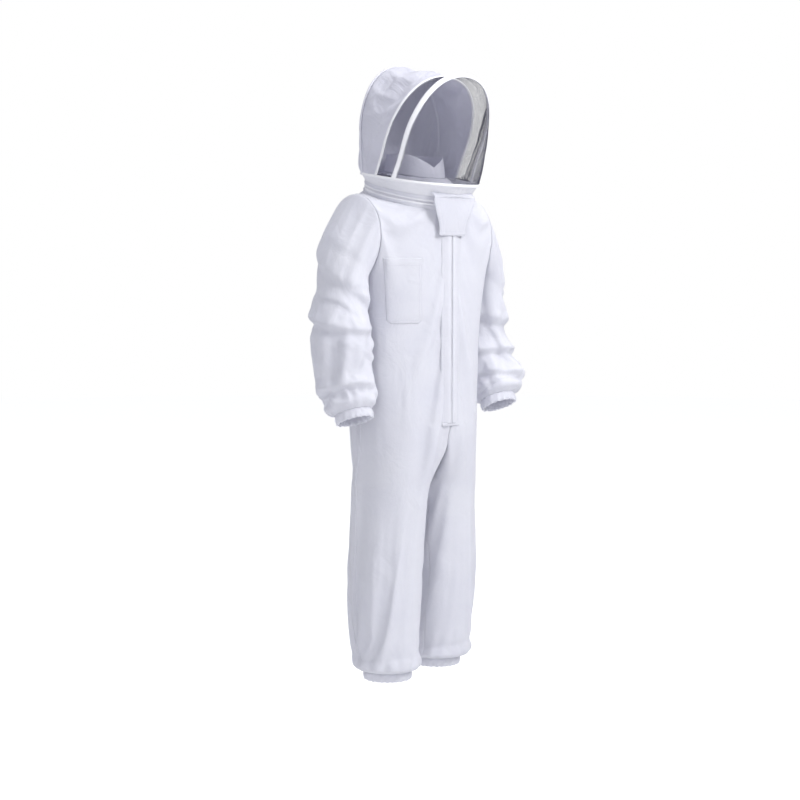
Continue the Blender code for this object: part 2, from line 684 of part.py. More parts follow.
hood.solid("hood_crown_panel", "hood_crown", CLOTH, COTTON)
hood.solid("veil_side_net", "side_net", NET, VEIL)
hood.solid("veil_front_net", "front_net", NET, VEIL)

band = Skin()
N_BAND = 36
rows = []
for t in (0.0, 0.35, 0.7, 1.0):
    row = []
    for i in range(N_BAND):
        a = 2 * math.pi * i / N_BAND
        q = band_edge(a)
        q = q - Vector((0, 0, 0.0042))
        plan = math.atan2(q.x, -(q.y) - NECK_F)
        p = neck(plan, TAPE_H + 0.0001)
        s = p.lerp(q, t ** 1.3)
        s.z = lerp(p.z, q.z, t)
        row.append(s)
    rows.append(row)
band.grid(rows, "band", P(0, 0.02, 1.50), closed=True)
band.solid("hood_lower_band", "band", CLOTH, COTTON)

# ------------------------------------------------------------------ throat flap
(tf, tz), (lf, lz) = FLAP_TOP, FLAP_BOTTOM
FT = 0.0016


def flap_point(x, s, depth):
    """s = 0 at the top edge, 1 at the bottom; depth outwards from the inner face."""
    f, z = lerp(tf, lf, s), lerp(tz, lz, s)
    run = Vector((0, lf - tf, lz - tz)).normalized()
    return P(x, f - run.z * depth, z + run.y * depth)


def flap_plate(name, outline, d0, d1, mat):
    n = len(outline)
    verts = [flap_point(x, s, d1) for x, s in outline] + [flap_point(x, s, d0) for x, s in outline]
    faces = [list(range(n)), list(reversed(range(n, 2 * n)))]
    faces += [[k, (k + 1) % n, (k + 1) % n + n, k + n] for k in range(n)]
    return make(name, verts, faces, mat)


w = FLAP_W / 2
outline = [(-FLAP_TOP_W / 2, 0.0), (FLAP_TOP_W / 2, 0.0), (w + 0.0015, 0.92)]
for k in range(1, 5):
    a = math.pi / 2 * k / 4
    outline.append((w - 0.006 + 0.006 * math.cos(a), 0.94 + 0.06 * math.sin(a)))
outline += [(-x, s) for x, s in reversed(outline[2:])]
flap_plate("throat_flap", outline, 0.0, FT, COTTON)
for side, word in ((1, "left"), (-1, "right")):
    xs = [side * 0.012, side * 0.044]
    flap_plate("flap_hook_patch_" + word, [(xs[0], 0.76), (xs[1], 0.76), (xs[1], 0.95), (xs[0], 0.95)], -0.0013, -0.0003, VELCRO)
    z0, z1 = lerp(tz, lz, 0.95), lerp(tz, lz, 0.76)
    applied("suit_loop_patch_" + word,
            lambda u, v: P(u, 0.4, v), lambda u, v: Vector((0, 1, 0)),
            [lerp(side * 0.0195, side * 0.044, k / 4) for k in range(5)],
            [lerp(z0, z1, k / 2) for k in range(3)], 0.0006, 0.0012, VELCRO)

# ------------------------------------------------------------------ sleeves
# (fan angle, half length, half depth): rings that fan out from the underarm
FAN = [(0, 0.1150, 0.1150), (8, 0.1010, 0.1120), (17, 0.0895, 0.1080), (30, 0.0770, 0.1010),
       (46, 0.0680, 0.0950), (66, 0.0600, 0.0900), (90, 0.0575, 0.0870)]
# height, centre x, centre f, half width, half depth, tilt of the ring
SLEEVES = {
    -1: [(1.190, 0.2760, 0.012, 0.0655, 0.0870, 0), (1.140, 0.2870, 0.024, 0.0745, 0.0910, 2),
         (1.090, 0.2920, 0.030, 0.0785, 0.0950, 4), (1.030, 0.2920, 0.036, 0.0780, 0.0920, 10),
         (0.985, 0.2890, 0.043, 0.0745, 0.0860, 13), (0.940, 0.2880, 0.056, 0.0715, 0.0790, 18),
         (0.908, 0.2860, 0.070, 0.0620, 0.0670, 20), (0.888, 0.2840, 0.0780, 0.0508, 0.0508, 21)],
    1: [(1.190, 0.2750, -0.016, 0.0645, 0.0870, 0), (1.140, 0.2790, -0.024, 0.0675, 0.0880, 2),
        (1.090, 0.2820, -0.027, 0.0695, 0.0890, 4), (1.030, 0.2880, -0.014, 0.0760, 0.0900, 12),
        (0.990, 0.2970, 0.004, 0.0845, 0.0910, 16), (0.950, 0.2980, 0.024, 0.0840, 0.0870, 21),
        (0.922, 0.2900, 0.039, 0.0670, 0.0720, 24), (0.904, 0.2830, 0.0480, 0.0508, 0.0508, 25)],
}
N_SLEEVE = 18
for side, word in ((1, "left"), (-1, "right")):
    sk = Skin()
    rows = []
    for k, (deg, h, b) in enumerate(FAN):
        beta = math.radians(deg)
        drop = 0.0035 * k
        px, pz = ARM_X + 0.0008 + 0.0003 * k, ARM_Z - ARM_R - drop
        f0 = lerp(ARM_F, SLEEVES[side][0][2], (deg / 90) ** 2 * 0.7)
        row = []
        for i in range(N_SLEEVE):
            a = 2 * math.pi * i / N_SLEEVE
            along, across = h * (1 - math.cos(a)), b * math.sin(a)
            row.append(P(side * (px + math.sin(beta) * along), f0 + across, pz + math.cos(beta) * along))
        rows.append(row)
    for z, x0, f0, ra, rb, tilt in SLEEVES[side]:
        t = math.radians(tilt)
        rows.append([P(side * (x0 - ra * math.cos(2 * math.pi * i / N_SLEEVE)),
                       f0 + rb * math.sin(2 * math.pi * i / N_SLEEVE) * math.cos(t),
                       z + rb * math.sin(2 * math.pi * i / N_SLEEVE) * math.sin(t)) for i in range(N_SLEEVE)])
    idx = sk.grid(rows, "sleeve", P(side * 0.275, 0.0, 1.15), closed=True)
    c = P(side * ARM_X, ARM_F, ARM_Z)
    for i in idx[0]:
        d = sk.v[i] - c
        sk.fixed[i] = Vector((0, d.y, d.z)).normalized()
    z, x0, f0, ra, rb, tilt = SLEEVES[side][-1]
    t = math.radians(tilt)
    down = Vector((0, -math.sin(t), -math.cos(t)))
    centre = P(side * x0, f0, z)
    for i in idx[-1]:
        sk.fixed[i] = (sk.v[i] - centre).normalized()
    sk.solid("sleeve_" + word, "sleeve", CLOTH, COTTON)
    fr = (centre + down * 0.0004, Vector((1, 0, 0)), Vector((0, -math.cos(t), math.sin(t))), down)
    r, L = WRIST_R, CUFF_LEN
    ring_solid("wrist_hem_" + word, fr, 20, [(r, 0), (r, L), (r - 0.0045, L), (r - 0.0045, 0), (r - 0.0033, 0),
                                             (r - 0.0033, L - 0.0015), (r - 0.0014, L - 0.0015), (r - 0.0014, 0)], COTTON)
    ring_solid("wrist_elastic_" + word, fr, 20, [(r - 0.0018, 0.0020), (r - 0.0018, L - 0.0025), (r - 0.0029, L - 0.0025), (r - 0.0029, 0.0020)], RUBBER)

# ------------------------------------------------------------------ ankle hems
for side, word in ((1, "left"), (-1, "right")):
    z, x0, f0, _, _ = LEGS[side][-1]
    fr = (P(side * x0, f0, z - 0.0005), Vector((1, 0, 0)), Vector((0, -1, 0)), Vector((0, 0, -1)))
    r, L = ANKLE_R, CUFF_LEN
    ring_solid("ankle_hem_" + word, fr, 20, [(r, 0), (r, L), (r - 0.0055, L), (r - 0.0055, 0), (r - 0.0040, 0),
                                             (r - 0.0040, L - 0.0020), (r - 0.0015, L - 0.0020), (r - 0.0015, 0)], COTTON)
    ring_solid("ankle_elastic_" + word, fr, 20, [(r - 0.0019, 0.0020), (r - 0.0019, L - 0.0030), (r - 0.0036, L - 0.0030), (r - 0.0036, 0.0020)], RUBBER)
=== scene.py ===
"""Looks for the beekeeping suit: cloth, net, seams, zips and a soft studio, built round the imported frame."""
import math

import bpy
import numpy as np
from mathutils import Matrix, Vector, noise
from mathutils.bvhtree import BVHTree


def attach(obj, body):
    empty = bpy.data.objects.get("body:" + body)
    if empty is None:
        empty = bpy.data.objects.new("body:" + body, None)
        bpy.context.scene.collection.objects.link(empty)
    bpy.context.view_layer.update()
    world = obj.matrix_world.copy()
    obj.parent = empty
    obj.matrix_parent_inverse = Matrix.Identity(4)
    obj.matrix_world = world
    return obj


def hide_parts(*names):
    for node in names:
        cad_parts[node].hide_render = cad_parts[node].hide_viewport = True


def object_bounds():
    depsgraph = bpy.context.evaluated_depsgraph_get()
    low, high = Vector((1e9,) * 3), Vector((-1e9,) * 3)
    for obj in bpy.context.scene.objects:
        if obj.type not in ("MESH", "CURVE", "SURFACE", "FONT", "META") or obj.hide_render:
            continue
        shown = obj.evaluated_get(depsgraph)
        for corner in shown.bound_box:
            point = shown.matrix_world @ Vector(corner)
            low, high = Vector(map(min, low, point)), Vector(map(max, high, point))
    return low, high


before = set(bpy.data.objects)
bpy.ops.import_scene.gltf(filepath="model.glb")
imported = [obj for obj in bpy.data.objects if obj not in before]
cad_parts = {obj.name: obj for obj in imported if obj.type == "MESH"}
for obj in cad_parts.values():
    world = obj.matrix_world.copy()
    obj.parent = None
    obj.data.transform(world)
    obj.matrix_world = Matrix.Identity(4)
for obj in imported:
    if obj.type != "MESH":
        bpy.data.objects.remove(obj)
CAD_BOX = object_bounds()
scene = bpy.context.scene

# ------------------------------------------------------------------ the suit's own sizes (m), as in the CAD
SHOULDER_Z = 1.470
FRONT_F = 0.160
ZIP_BOTTOM, ZIP_TOP, ZIP_SLOT = 0.856, 1.444, 0.0185
BODY = [
    (0.800, 0.196, FRONT_F, 0.136, 2.35), (0.832, 0.198, FRONT_F, 0.139, 2.35),
    (0.856, 0.199, FRONT_F, 0.141, 2.35), (0.930, 0.201, FRONT_F, 0.143, 2.35),
    (1.000, 0.200, FRONT_F, 0.139, 2.35), (1.070, 0.198, FRONT_F, 0.133, 2.40),
    (1.140, 0.199, FRONT_F, 0.130, 2.40), (1.200, 0.202, FRONT_F, 0.130, 2.45),
    (1.250, 0.2055, FRONT_F, 0.130, 2.50),
]
ARM_X, ARM_F, ARM_Z, ARM_R = 0.2070, -0.010, 1.375, 0.115
NECK_TILT = math.radians(14.0)
NECK_F, NECK_Z, NECK_R = 0.016, 1.4975, 0.152
PANEL_H, TAPE_H = 0.0162, 0.0145
CUFF_LEN, WRIST_R, ANKLE_R = 0.022, 0.0515, 0.0680
LEGS = {
    -1: [(0.720, 0.100, 0.010, 0.0955, 0.128), (0.620, 0.1035, 0.012, 0.0975, 0.114),
         (0.500, 0.114, 0.014, 0.0970, 0.104), (0.400, 0.122, 0.014, 0.0955, 0.101),
         (0.300, 0.125, 0.016, 0.0930, 0.099), (0.235, 0.125, 0.020, 0.0910, 0.097),
         (0.190, 0.123, 0.024, 0.0865, 0.091), (0.162, 0.121, 0.026, 0.0790, 0.082),
         (0.1445, 0.120, 0.027, 0.0675, 0.0675)],
    1: [(0.720, 0.100, 0.004, 0.0955, 0.128), (0.620, 0.1035, 0.000, 0.0975, 0.114),
        (0.500, 0.115, -0.004, 0.0970, 0.104), (0.400, 0.123, -0.010, 0.0955, 0.101),
        (0.300, 0.125, -0.018, 0.0930, 0.099), (0.235, 0.124, -0.026, 0.0910, 0.097),
        (0.190, 0.122, -0.031, 0.0865, 0.091), (0.162, 0.121, -0.034, 0.0790, 0.082),
        (0.1445, 0.120, -0.036, 0.0675, 0.0675)],
}
FAN = [(0, 0.1150, 0.1150), (8, 0.1010, 0.1120), (17, 0.0895, 0.1080), (30, 0.0770, 0.1010),
       (46, 0.0680, 0.0950), (66, 0.0600, 0.0900), (90, 0.0575, 0.0870)]
SLEEVES = {
    -1: [(1.190, 0.2760, 0.012, 0.0655, 0.0870, 0), (1.140, 0.2870, 0.024, 0.0745, 0.0910, 2),
         (1.090, 0.2920, 0.030, 0.0785, 0.0950, 4), (1.030, 0.2920, 0.036, 0.0780, 0.0920, 10),
         (0.985, 0.2890, 0.043, 0.0745, 0.0860, 13), (0.940, 0.2880, 0.056, 0.0715, 0.0790, 18),
         (0.908, 0.2860, 0.070, 0.0620, 0.0670, 20), (0.888, 0.2840, 0.0780, 0.0508, 0.0508, 21)],
    1: [(1.190, 0.2750, -0.016, 0.0645, 0.0870, 0), (1.140, 0.2790, -0.024, 0.0675, 0.0880, 2),
        (1.090, 0.2820, -0.027, 0.0695, 0.0890, 4), (1.030, 0.2880, -0.014, 0.0760, 0.0900, 12),
        (0.990, 0.2970, 0.004, 0.0845, 0.0910, 16), (0.950, 0.2980, 0.024, 0.0840, 0.0870, 21),
        (0.922, 0.2900, 0.039, 0.0670, 0.0720, 24), (0.904, 0.2830, 0.0480, 0.0508, 0.0508, 25)],
}
BAND_W, BAND_F0, BAND_FRONT, BAND_BACK = 0.150, 0.030, 0.175, 0.155
ARCH = [(0.0, 1.0), (0.30, 0.978), (0.58, 0.905), (0.82, 0.76), (0.965, 0.565), (1.0, 0.385), (0.985, 0.20)]
HOOPS = {
    "rear": (-0.062, -0.056, 1.858, 0.147),
    "middle": (0.010, 0.142, 1.814, 0.152),
    "front": (0.082, 0.215, 1.812, 0.143),
}
FLAP_TOP_W = 0.140
FLAP_W, FLAP_TOP, FLAP_BOTTOM = 0.098, (0.1745, 1.478), (0.1660, 1.374)
POCKET_ANGLE, POCKET_Z = (-32.5, -63.0), (1.130, 1.312)

NQ = 30                    # cloth columns from centre to side seam
STEP = 0.0092              # cloth row spacing
FRAMES = 56


# ------------------------------------------------------------------ helpers
def P(x, f, z):
    return Vector((x, -f, z - SHOULDER_Z))


def spow(v, e):
    return math.copysign(abs(v) ** e, v)


def lerp(a, b, t):
    return a + (b - a) * t


def smooth(t):
    t = min(1.0, max(0.0, t))
    return t * t * (3 - 2 * t)


def table(rows, z):
    """Smooth interpolation in a table whose first column rises or falls."""
    flip = rows[0][0] > rows[-1][0]
    rs = rows[::-1] if flip else rows
    if z <= rs[0][0]:
        return rs[0][1:]
    if z >= rs[-1][0]:
        return rs[-1][1:]
    k = max(i for i in range(len(rs) - 1) if rs[i][0] <= z)
    a, b = rs[k], rs[k + 1]
    p, n = rs[max(k - 1, 0)], rs[min(k + 2, len(rs) - 1)]
    h = b[0] - a[0]
    t = (z - a[0]) / h
    out = []
    for c in range(1, len(a)):
        ma = (b[c] - p[c]) / (b[0] - p[0]) * h
        mb = (n[c] - a[c]) / (n[0] - a[0]) * h
        out.append((2 * t ** 3 - 3 * t ** 2 + 1) * a[c] + (t ** 3 - 2 * t ** 2 + t) * ma
                   + (-2 * t ** 3 + 3 * t ** 2) * b[c] + (t ** 3 - t ** 2) * mb)
    return tuple(out)


def nz(x, y, z=0.0, seed=0.0):
    return noise.noise(Vector((x + seed * 17.3, y - seed * 9.1, z + seed * 3.7)))


def bag(t):
    """Across a draped fold: cloth bags out above the crease (t > 0) and is drawn in below it."""
    if t >= 0:
        return 1.6 * t * math.exp(1 - 1.6 * t)
    return 0.75 * 4 * t * math.exp(1 + 4 * t)


def crease(t):
    """A run of rolls: round on top, sharp in the valleys."""
    return 2 * abs(math.cos(t / 2)) ** 0.8 - 1.1


def crumple(x, y, z, seed):
    """Wrinkled cotton: rounded swells that meet in sharp valleys."""
    a = 1 - 2.6 * abs(nz(x, y, z, seed))
    b = 1 - 2.6 * abs(nz(2.1 * x + 0.7 * z, 2.1 * y, 2.1 * z - 0.7 * x, seed + 1))
    return 0.62 * a + 0.38 * b - 0.35


def drape(a, z, folds):
    """Folds round a sleeve: each a crease from (angle, height) to (angle, height), width, depth."""
    out = 0.0
    for a0, z0, a1, z1, w, d in folds:
        for turn in (-360, 0, 360):
            u = (a + turn - a0) / (a1 - a0)
            if -0.25 < u < 1.25:
                fade = smooth((u + 0.25) / 0.4) * smooth((1.25 - u) / 0.4)
                zc = lerp(z0, z1, u) + 0.006 * math.sin(5 * u + 40 * z0)
                out += d * fade * bag((z - zc) / w)
    return out


NECK_C = P(0, NECK_F, NECK_Z)
EX = Vector((1, 0, 0))
EF = Vector((0, -math.cos(NECK_TILT), -math.sin(NECK_TILT)))
EN = Vector((0, -math.sin(NECK_TILT), math.cos(NECK_TILT)))


def neck(angle, h=0.0, r=NECK_R):
    return NECK_C + (EX * math.sin(angle) + EF * math.cos(angle)) * r + EN * h


def body_point(z, angle, start=0.0):
    a, bf, bb, n = table(BODY, z)
    x = a * spow(math.sin(angle), 2 / n)
    f = (bf if math.cos(angle) >= 0 else bb) * spow(math.cos(angle), 2 / n)
    return max(x, start), f


def quarter(z, front, start, nq):
    a, bf, bb, n = table(BODY, z)
    a0 = math.asin(min(1.0, (start / a) ** (n / 2))) if start > 0 else 0.0
    pts = []
    fine = 8 * nq
    for i in range(fine + 1):
        t = lerp(a0, math.pi / 2, i / fine)
        pts.append(Vector((*body_point(z, t if front else math.pi - t), z)))
    run = [0.0]
    for p, q in zip(pts, pts[1:]):
        run.append(run[-1] + (q - p).length)
    out, j = [], 0
    for i in range(nq + 1):
        want = run[-1] * i / nq
        while j < fine - 1 and run[j + 1] < want:
            j += 1
        t = (want - run[j]) / max(run[j + 1] - run[j], 1e-12)
        out.append(pts[j].lerp(pts[j + 1], t))
    return out


def arm_circle(angle):
    return Vector((ARM_X, ARM_F + ARM_R * math.sin(angle), ARM_Z - ARM_R * math.cos(angle)))


def upper_rows(front, nq, nu, start):
    z0 = BODY[-1][0]
    d0 = quarter(z0, front, start, nq)
    d0[-1] = arm_circle(0.0)
    a0 = math.asin(start / NECK_R) if front else math.pi
    inner, outer, split = [], [], 0.40
    edge = neck(a0, -PANEL_H)
    for j in range(nu + 1):
        v = j / nu
        if v <= split:
            t = v / split
            inner.append(Vector((d0[0].x, lerp(d0[0].y, -edge.y, t ** 2), lerp(z0, edge.z + SHOULDER_Z, t))))
        else:
            t = (v - split) / (1 - split)
            q = neck(lerp(a0, math.pi / 2, t), -PANEL_H)
            inner.append(Vector((q.x, -q.y, q.z + SHOULDER_Z)))
        outer.append(arm_circle(math.pi * v if front else -math.pi * v))
    d1 = [inner[-1].lerp(outer[-1], i / nq) for i in range(nq + 1)]
    for i, p in enumerate(d1):
        p.z += 0.004 * math.sin(math.pi * i / nq)
    rows = []
    for j in range(nu + 1):
        v = j / nu
        w0, w1 = (1 - v) ** 2.2, v ** 2.2
        row = []
        for i in range(nq + 1):
            u = i / nq
            p = inner[j].lerp(outer[j], u)
            row.append(p + (d0[i] - d0[0].lerp(d0[-1], u)) * w0 + (d1[i] - d1[0].lerp(d1[-1], u)) * w1)
        rows.append(row)
    return rows


class Skin:
    """A welded single-layer surface, with labelled faces and metric UVs."""

    def __init__(self):
        self.v, self.f, self.uv, self.tag, self.where, self.marks = [], [], [], [], {}, {}

    def point(self, p):
        key = tuple(round(c * 2e5) for c in p)
        if key not in self.where:
            self.where[key] = len(self.v)
            self.v.append(Vector(p))
        return self.where[key]

    def grid(self, rows, tag, inside, closed=False, split=None):
        idx = [[self.point(p) for p in row] for row in rows]
        vv = [0.0]
        m = len(rows[0]) // 2
        for a, b in zip(rows, rows[1:]):
            vv.append(vv[-1] + (b[m] - a[m]).length)
        uu = []
        for row in rows:
            u = [0.0]
            for a, b in zip(row, row[1:] + row[:1]):
                u.append(u[-1] + (b - a).length)
            uu.append(u)
        quads, sign = [], 0.0
        for j in range(len(idx) - 1):
            n = len(idx[j])
            for i in range(n if closed else n - 1):
                k = (i + 1) % n
                q = [(idx[j][i], uu[j][i], vv[j]), (idx[j][k], uu[j][i + 1], vv[j]),
                     (idx[j + 1][k], uu[j + 1][i + 1], vv[j + 1]), (idx[j + 1][i], uu[j + 1][i], vv[j + 1])]
                q = [a for m2, a in enumerate(q) if a[0] != q[m2 - 1][0]]
                if len(q) < 3:
                    continue
                quads.append((q, split(i) if split else tag))
                a, b, c = (self.v[w[0]] for w in q[:3])
                sign += (b - a).cross(c - a).dot((a + b + c) / 3 - Vector(inside))
        for q, name in quads:
            q = q if sign > 0 else q[::-1]
            self.f.append([a[0] for a in q])
            self.uv.append([(a[1], a[2]) for a in q])
            self.tag.append(name)
        return idx

    def object(self, name):
        me = bpy.data.meshes.new(name)
        me.from_pydata([tuple(v) for v in self.v], [], self.f)
        layer = me.uv_layers.new(name="cloth")
        k = 0
        for uvs in self.uv:
            for uv in uvs:
                layer.data[k].uv = uv
                k += 1
        ob = bpy.data.objects.new(name, me)
        scene.collection.objects.link(ob)
        return ob


def mesh_object(name, verts, faces, mat=None, smooth_shade=True, uvs=None):
    me = bpy.data.meshes.new(name)
    me.from_pydata([tuple(v) for v in verts], [], faces)
    if uvs is not None:
        layer = me.uv_layers.new(name="cloth")
        for lp in me.loops:
            layer.data[lp.index].uv = uvs[lp.vertex_index]
    ob = bpy.data.objects.new(name, me)
    scene.collection.objects.link(ob)
    if mat is not None:
        me.materials.append(mat)
    if smooth_shade:
        me.shade_smooth()
    return ob


def apply_all(ob):
    """Bakes an object's modifiers into its mesh."""
    bpy.context.view_layer.update()
    dg = bpy.context.evaluated_depsgraph_get()
    me = bpy.data.meshes.new_from_object(ob.evaluated_get(dg), preserve_all_data_layers=True, depsgraph=dg)
    old = ob.data
    ob.modifiers.clear()
    ob.data = me
    me.name = ob.name
    bpy.data.meshes.remove(old)
    return ob


def rides(ob, body, nodes=()):
    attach(ob, body)
    if nodes:
        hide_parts(*nodes)
    return ob


# ------------------------------------------------------------------ materials
def new_material(name):
    m = bpy.data.materials.new(name)
    m.use_nodes = True
    nt = m.node_tree
    return m, nt, nt.nodes["Principled BSDF"]


def node(nt, kind, **kw):
    n = nt.nodes.new(kind)
    for k, v in kw.items():
        if k in n.inputs:
            n.inputs[k].default_value = v
        else:
            setattr(n, k, v)
    return n


def woven(name, light, dark, pitch=0.0009, bump=0.25, rough=0.86, sheen=0.25, twill=True, through=0.0, crumple=0.30):
    """Woven cloth: twill ribs on metric UVs, slubs, soft tone variation."""
    m, nt, b = new_material(name)
    L = nt.links
    uv = node(nt, "ShaderNodeUVMap", uv_map="cloth")
    co = node(nt, "ShaderNodeTexCoord")
    # large soft tone variation and fine slubs
    n1 = node(nt, "ShaderNodeTexNoise", Scale=7.0, Detail=3.0, Roughness=0.55)
    L.new(co.outputs["Object"], n1.inputs["Vector"])
    n2 = node(nt, "ShaderNodeTexNoise", Scale=260.0, Detail=4.0, Roughness=0.7)
    stretch = node(nt, "ShaderNodeMapping")
    stretch.inputs["Scale"].default_value = (1.0, 0.25, 1.0)
    L.new(uv.outputs["UV"], stretch.inputs["Vector"])
    L.new(stretch.outputs["Vector"], n2.inputs["Vector"])
    add = node(nt, "ShaderNodeMath", operation="MULTIPLY_ADD")
    L.new(n1.outputs["Fac"], add.inputs[0])
    add.inputs[1].default_value = 0.65
    scaled = node(nt, "ShaderNodeMath", operation="MULTIPLY")
    L.new(n2.outputs["Fac"], scaled.inputs[0])
    scaled.inputs[1].default_value = 0.35
    L.new(scaled.outputs[0], add.inputs[2])
    ramp = node(nt, "ShaderNodeValToRGB")
    ramp.color_ramp.elements[0].position = 0.30
    ramp.color_ramp.elements[0].color = (*dark, 1)
    ramp.color_ramp.elements[1].position = 0.62
    ramp.color_ramp.elements[1].color = (*light, 1)
    L.new(add.outputs[0], ramp.inputs["Fac"])
    L.new(ramp.outputs["Color"], b.inputs["Base Color"])
    b.inputs["Roughness"].default_value = rough
    b.inputs["Specular IOR Level"].default_value = 0.25
    b.inputs["Sheen Weight"].default_value = sheen
    b.inputs["Sheen Roughness"].default_value = 0.5
    # weave: two crossed thread waves, shifted into a twill
    mp = node(nt, "ShaderNodeMapping")
    mp.inputs["Rotation"].default_value = (0, 0, math.radians(27 if twill else 0))
    L.new(uv.outputs["UV"], mp.inputs["Vector"])
    w1 = node(nt, "ShaderNodeTexWave", wave_type="BANDS", bands_direction="X", Scale=0.31 / pitch)
    w1.inputs["Distortion"].default_value = 0.6
    w2 = node(nt, "ShaderNodeTexWave", wave_type="BANDS", bands_direction="Y", Scale=0.31 / pitch)
    w2.inputs["Distortion"].default_value = 0.6
    L.new(mp.outputs["Vector"], w1.inputs["Vector"])
    L.new(uv.outputs["UV"], w2.inputs["Vector"])
    mul = node(nt, "ShaderNodeMath", operation="MULTIPLY_ADD")
    L.new(w1.outputs["Fac"], mul.inputs[0])
    mul.inputs[1].default_value = 0.7
    half = node(nt, "ShaderNodeMath", operation="MULTIPLY")
    L.new(w2.outputs["Fac"], half.inputs[0])
    half.inputs[1].default_value = 0.3
    L.new(half.outputs[0], mul.inputs[2])
    bp = node(nt, "ShaderNodeBump", Strength=bump, Distance=0.0003)
    L.new(mul.outputs[0], bp.inputs["Height"])
    # soft puckers of a few millimetres, which washed cotton keeps
    n3 = node(nt, "ShaderNodeTexNoise", Scale=55.0, Detail=3.0, Roughness=0.6)
    L.new(co.outputs["Object"], n3.inputs["Vector"])
    bp3 = node(nt, "ShaderNodeBump", Strength=0.18, Distance=0.0018)
    L.new(n3.outputs["Fac"], bp3.inputs["Height"])
    L.new(bp.outputs["Normal"], bp3.inputs["Normal"])
    # sharp little crease lines, as in cotton that was folded and worn
    n4 = node(nt, "ShaderNodeTexNoise", Scale=9.0, Detail=4.0, Roughness=0.55, Distortion=0.9)
    L.new(co.outputs["Object"], n4.inputs["Vector"])
    off = node(nt, "ShaderNodeMath", operation="SUBTRACT")
    L.new(n4.outputs["Fac"], off.inputs[0])
    off.inputs[1].default_value = 0.5
    ridge = node(nt, "ShaderNodeMath", operation="ABSOLUTE")
    L.new(off.outputs[0], ridge.inputs[0])
    bp2 = node(nt, "ShaderNodeBump", Strength=crumple, Distance=0.03)
    L.new(ridge.outputs[0], bp2.inputs["Height"])
    L.new(bp3.outputs["Normal"], bp2.inputs["Normal"])
    L.new(bp2.outputs["Normal"], b.inputs["Normal"])
    if through:
        tr = node(nt, "ShaderNodeBsdfTranslucent")
        L.new(ramp.outputs["Color"], tr.inputs["Color"])
        L.new(bp2.outputs["Normal"], tr.inputs["Normal"])
        mx = node(nt, "ShaderNodeMixShader")
        mx.inputs[0].default_value = through
        L.new(b.outputs[0], mx.inputs[1])
        L.new(tr.outputs[0], mx.inputs[2])
        L.new(mx.outputs[0], nt.nodes["Material Output"].inputs["Surface"])
    return m


def plain(name, colour, rough, metallic=0.0, spec=0.5, bump=0.0, scale=900.0, coat=0.0):
    """A moulded, drawn or lacquered surface with fine mottling."""
    m, nt, b = new_material(name)
    L = nt.links
    co = node(nt, "ShaderNodeTexCoord")
    n = node(nt, "ShaderNodeTexNoise", Scale=scale, Detail=3.0, Roughness=0.6)
    L.new(co.outputs["Object"], n.inputs["Vector"])
    ramp = node(nt, "ShaderNodeValToRGB")
    ramp.color_ramp.elements[0].position = 0.35
    ramp.color_ramp.elements[0].color = (*(c * 0.90 for c in colour), 1)
    ramp.color_ramp.elements[1].position = 0.65
    ramp.color_ramp.elements[1].color = (*colour, 1)
    L.new(n.outputs["Fac"], ramp.inputs["Fac"])
    L.new(ramp.outputs["Color"], b.inputs["Base Color"])
    rr = node(nt, "ShaderNodeMapRange")
    rr.inputs["To Min"].default_value = rough * 0.9
    rr.inputs["To Max"].default_value = min(1.0, rough * 1.12)
    L.new(n.outputs["Fac"], rr.inputs["Value"])
    L.new(rr.outputs["Result"], b.inputs["Roughness"])
    b.inputs["Metallic"].default_value = metallic
    b.inputs["Specular IOR Level"].default_value = spec
    b.inputs["Coat Weight"].default_value = coat
    if bump:
        bp = node(nt, "ShaderNodeBump", Strength=bump, Distance=0.0003)
        L.new(n.outputs["Fac"], bp.inputs["Height"])
        L.new(bp.outputs["Normal"], b.inputs["Normal"])
    return m


COTTON = woven("cotton_twill", (0.850, 0.853, 0.904), (0.798, 0.801, 0.868), bump=0.10, through=0.30, crumple=0.20)
LINING = woven("cotton_lining", (0.86, 0.86, 0.93), (0.80, 0.80, 0.89), pitch=0.0008, bump=0.3, rough=0.9, through=0.35)
HOOD_CLOTH = woven("hood_cotton", (0.790, 0.790, 0.860), (0.725, 0.725, 0.800), pitch=0.0016, bump=0.4, through=0.34, twill=False, crumple=0.45)
BINDING = woven("binding_tape", (0.955, 0.955, 0.975), (0.93, 0.93, 0.96), pitch=0.0011, bump=0.35, twill=False, crumple=0.05)
# the band's cotton is the suit's cotton painted lighter, to cancel the shade that the band sits in under the hood
BAND_COTTON_PAINTED_LIGHTER = woven("band_cotton_painted_lighter", (0.945, 0.947, 0.975), (0.905, 0.907, 0.945), bump=0.10, through=0.30, crumple=0.20)
TAPE = woven("zip_tape_weave", (0.93, 0.93, 0.96), (0.88, 0.88, 0.93), pitch=0.0008, bump=0.4, twill=False, crumple=0.03)
THREAD = plain("sewing_thread", (0.78, 0.78, 0.86), 0.7, bump=0.3, scale=1500)
NETTING = plain("net_thread", (0.095, 0.095, 0.135), 0.6, spec=0.3, bump=0.2, scale=1200)
COIL = plain("zip_coil_nylon", (0.86, 0.86, 0.90), 0.35, spec=0.5)
METAL = plain("slider_lacquer", (0.82, 0.82, 0.85), 0.28, spec=0.6, coat=0.4)
STEEL = plain("spring_wire", (0.42, 0.42, 0.44), 0.32, metallic=1.0, scale=300)
ELASTIC = woven("knit_elastic", (0.84, 0.84, 0.87), (0.72, 0.72, 0.77), pitch=0.0013, bump=0.6, twill=False, crumple=0.03)
LOOPS = woven("loop_tape", (0.88, 0.88, 0.92), (0.76, 0.76, 0.82), pitch=0.0005, bump=1.0, sheen=0.8, twill=False, crumple=0.03)


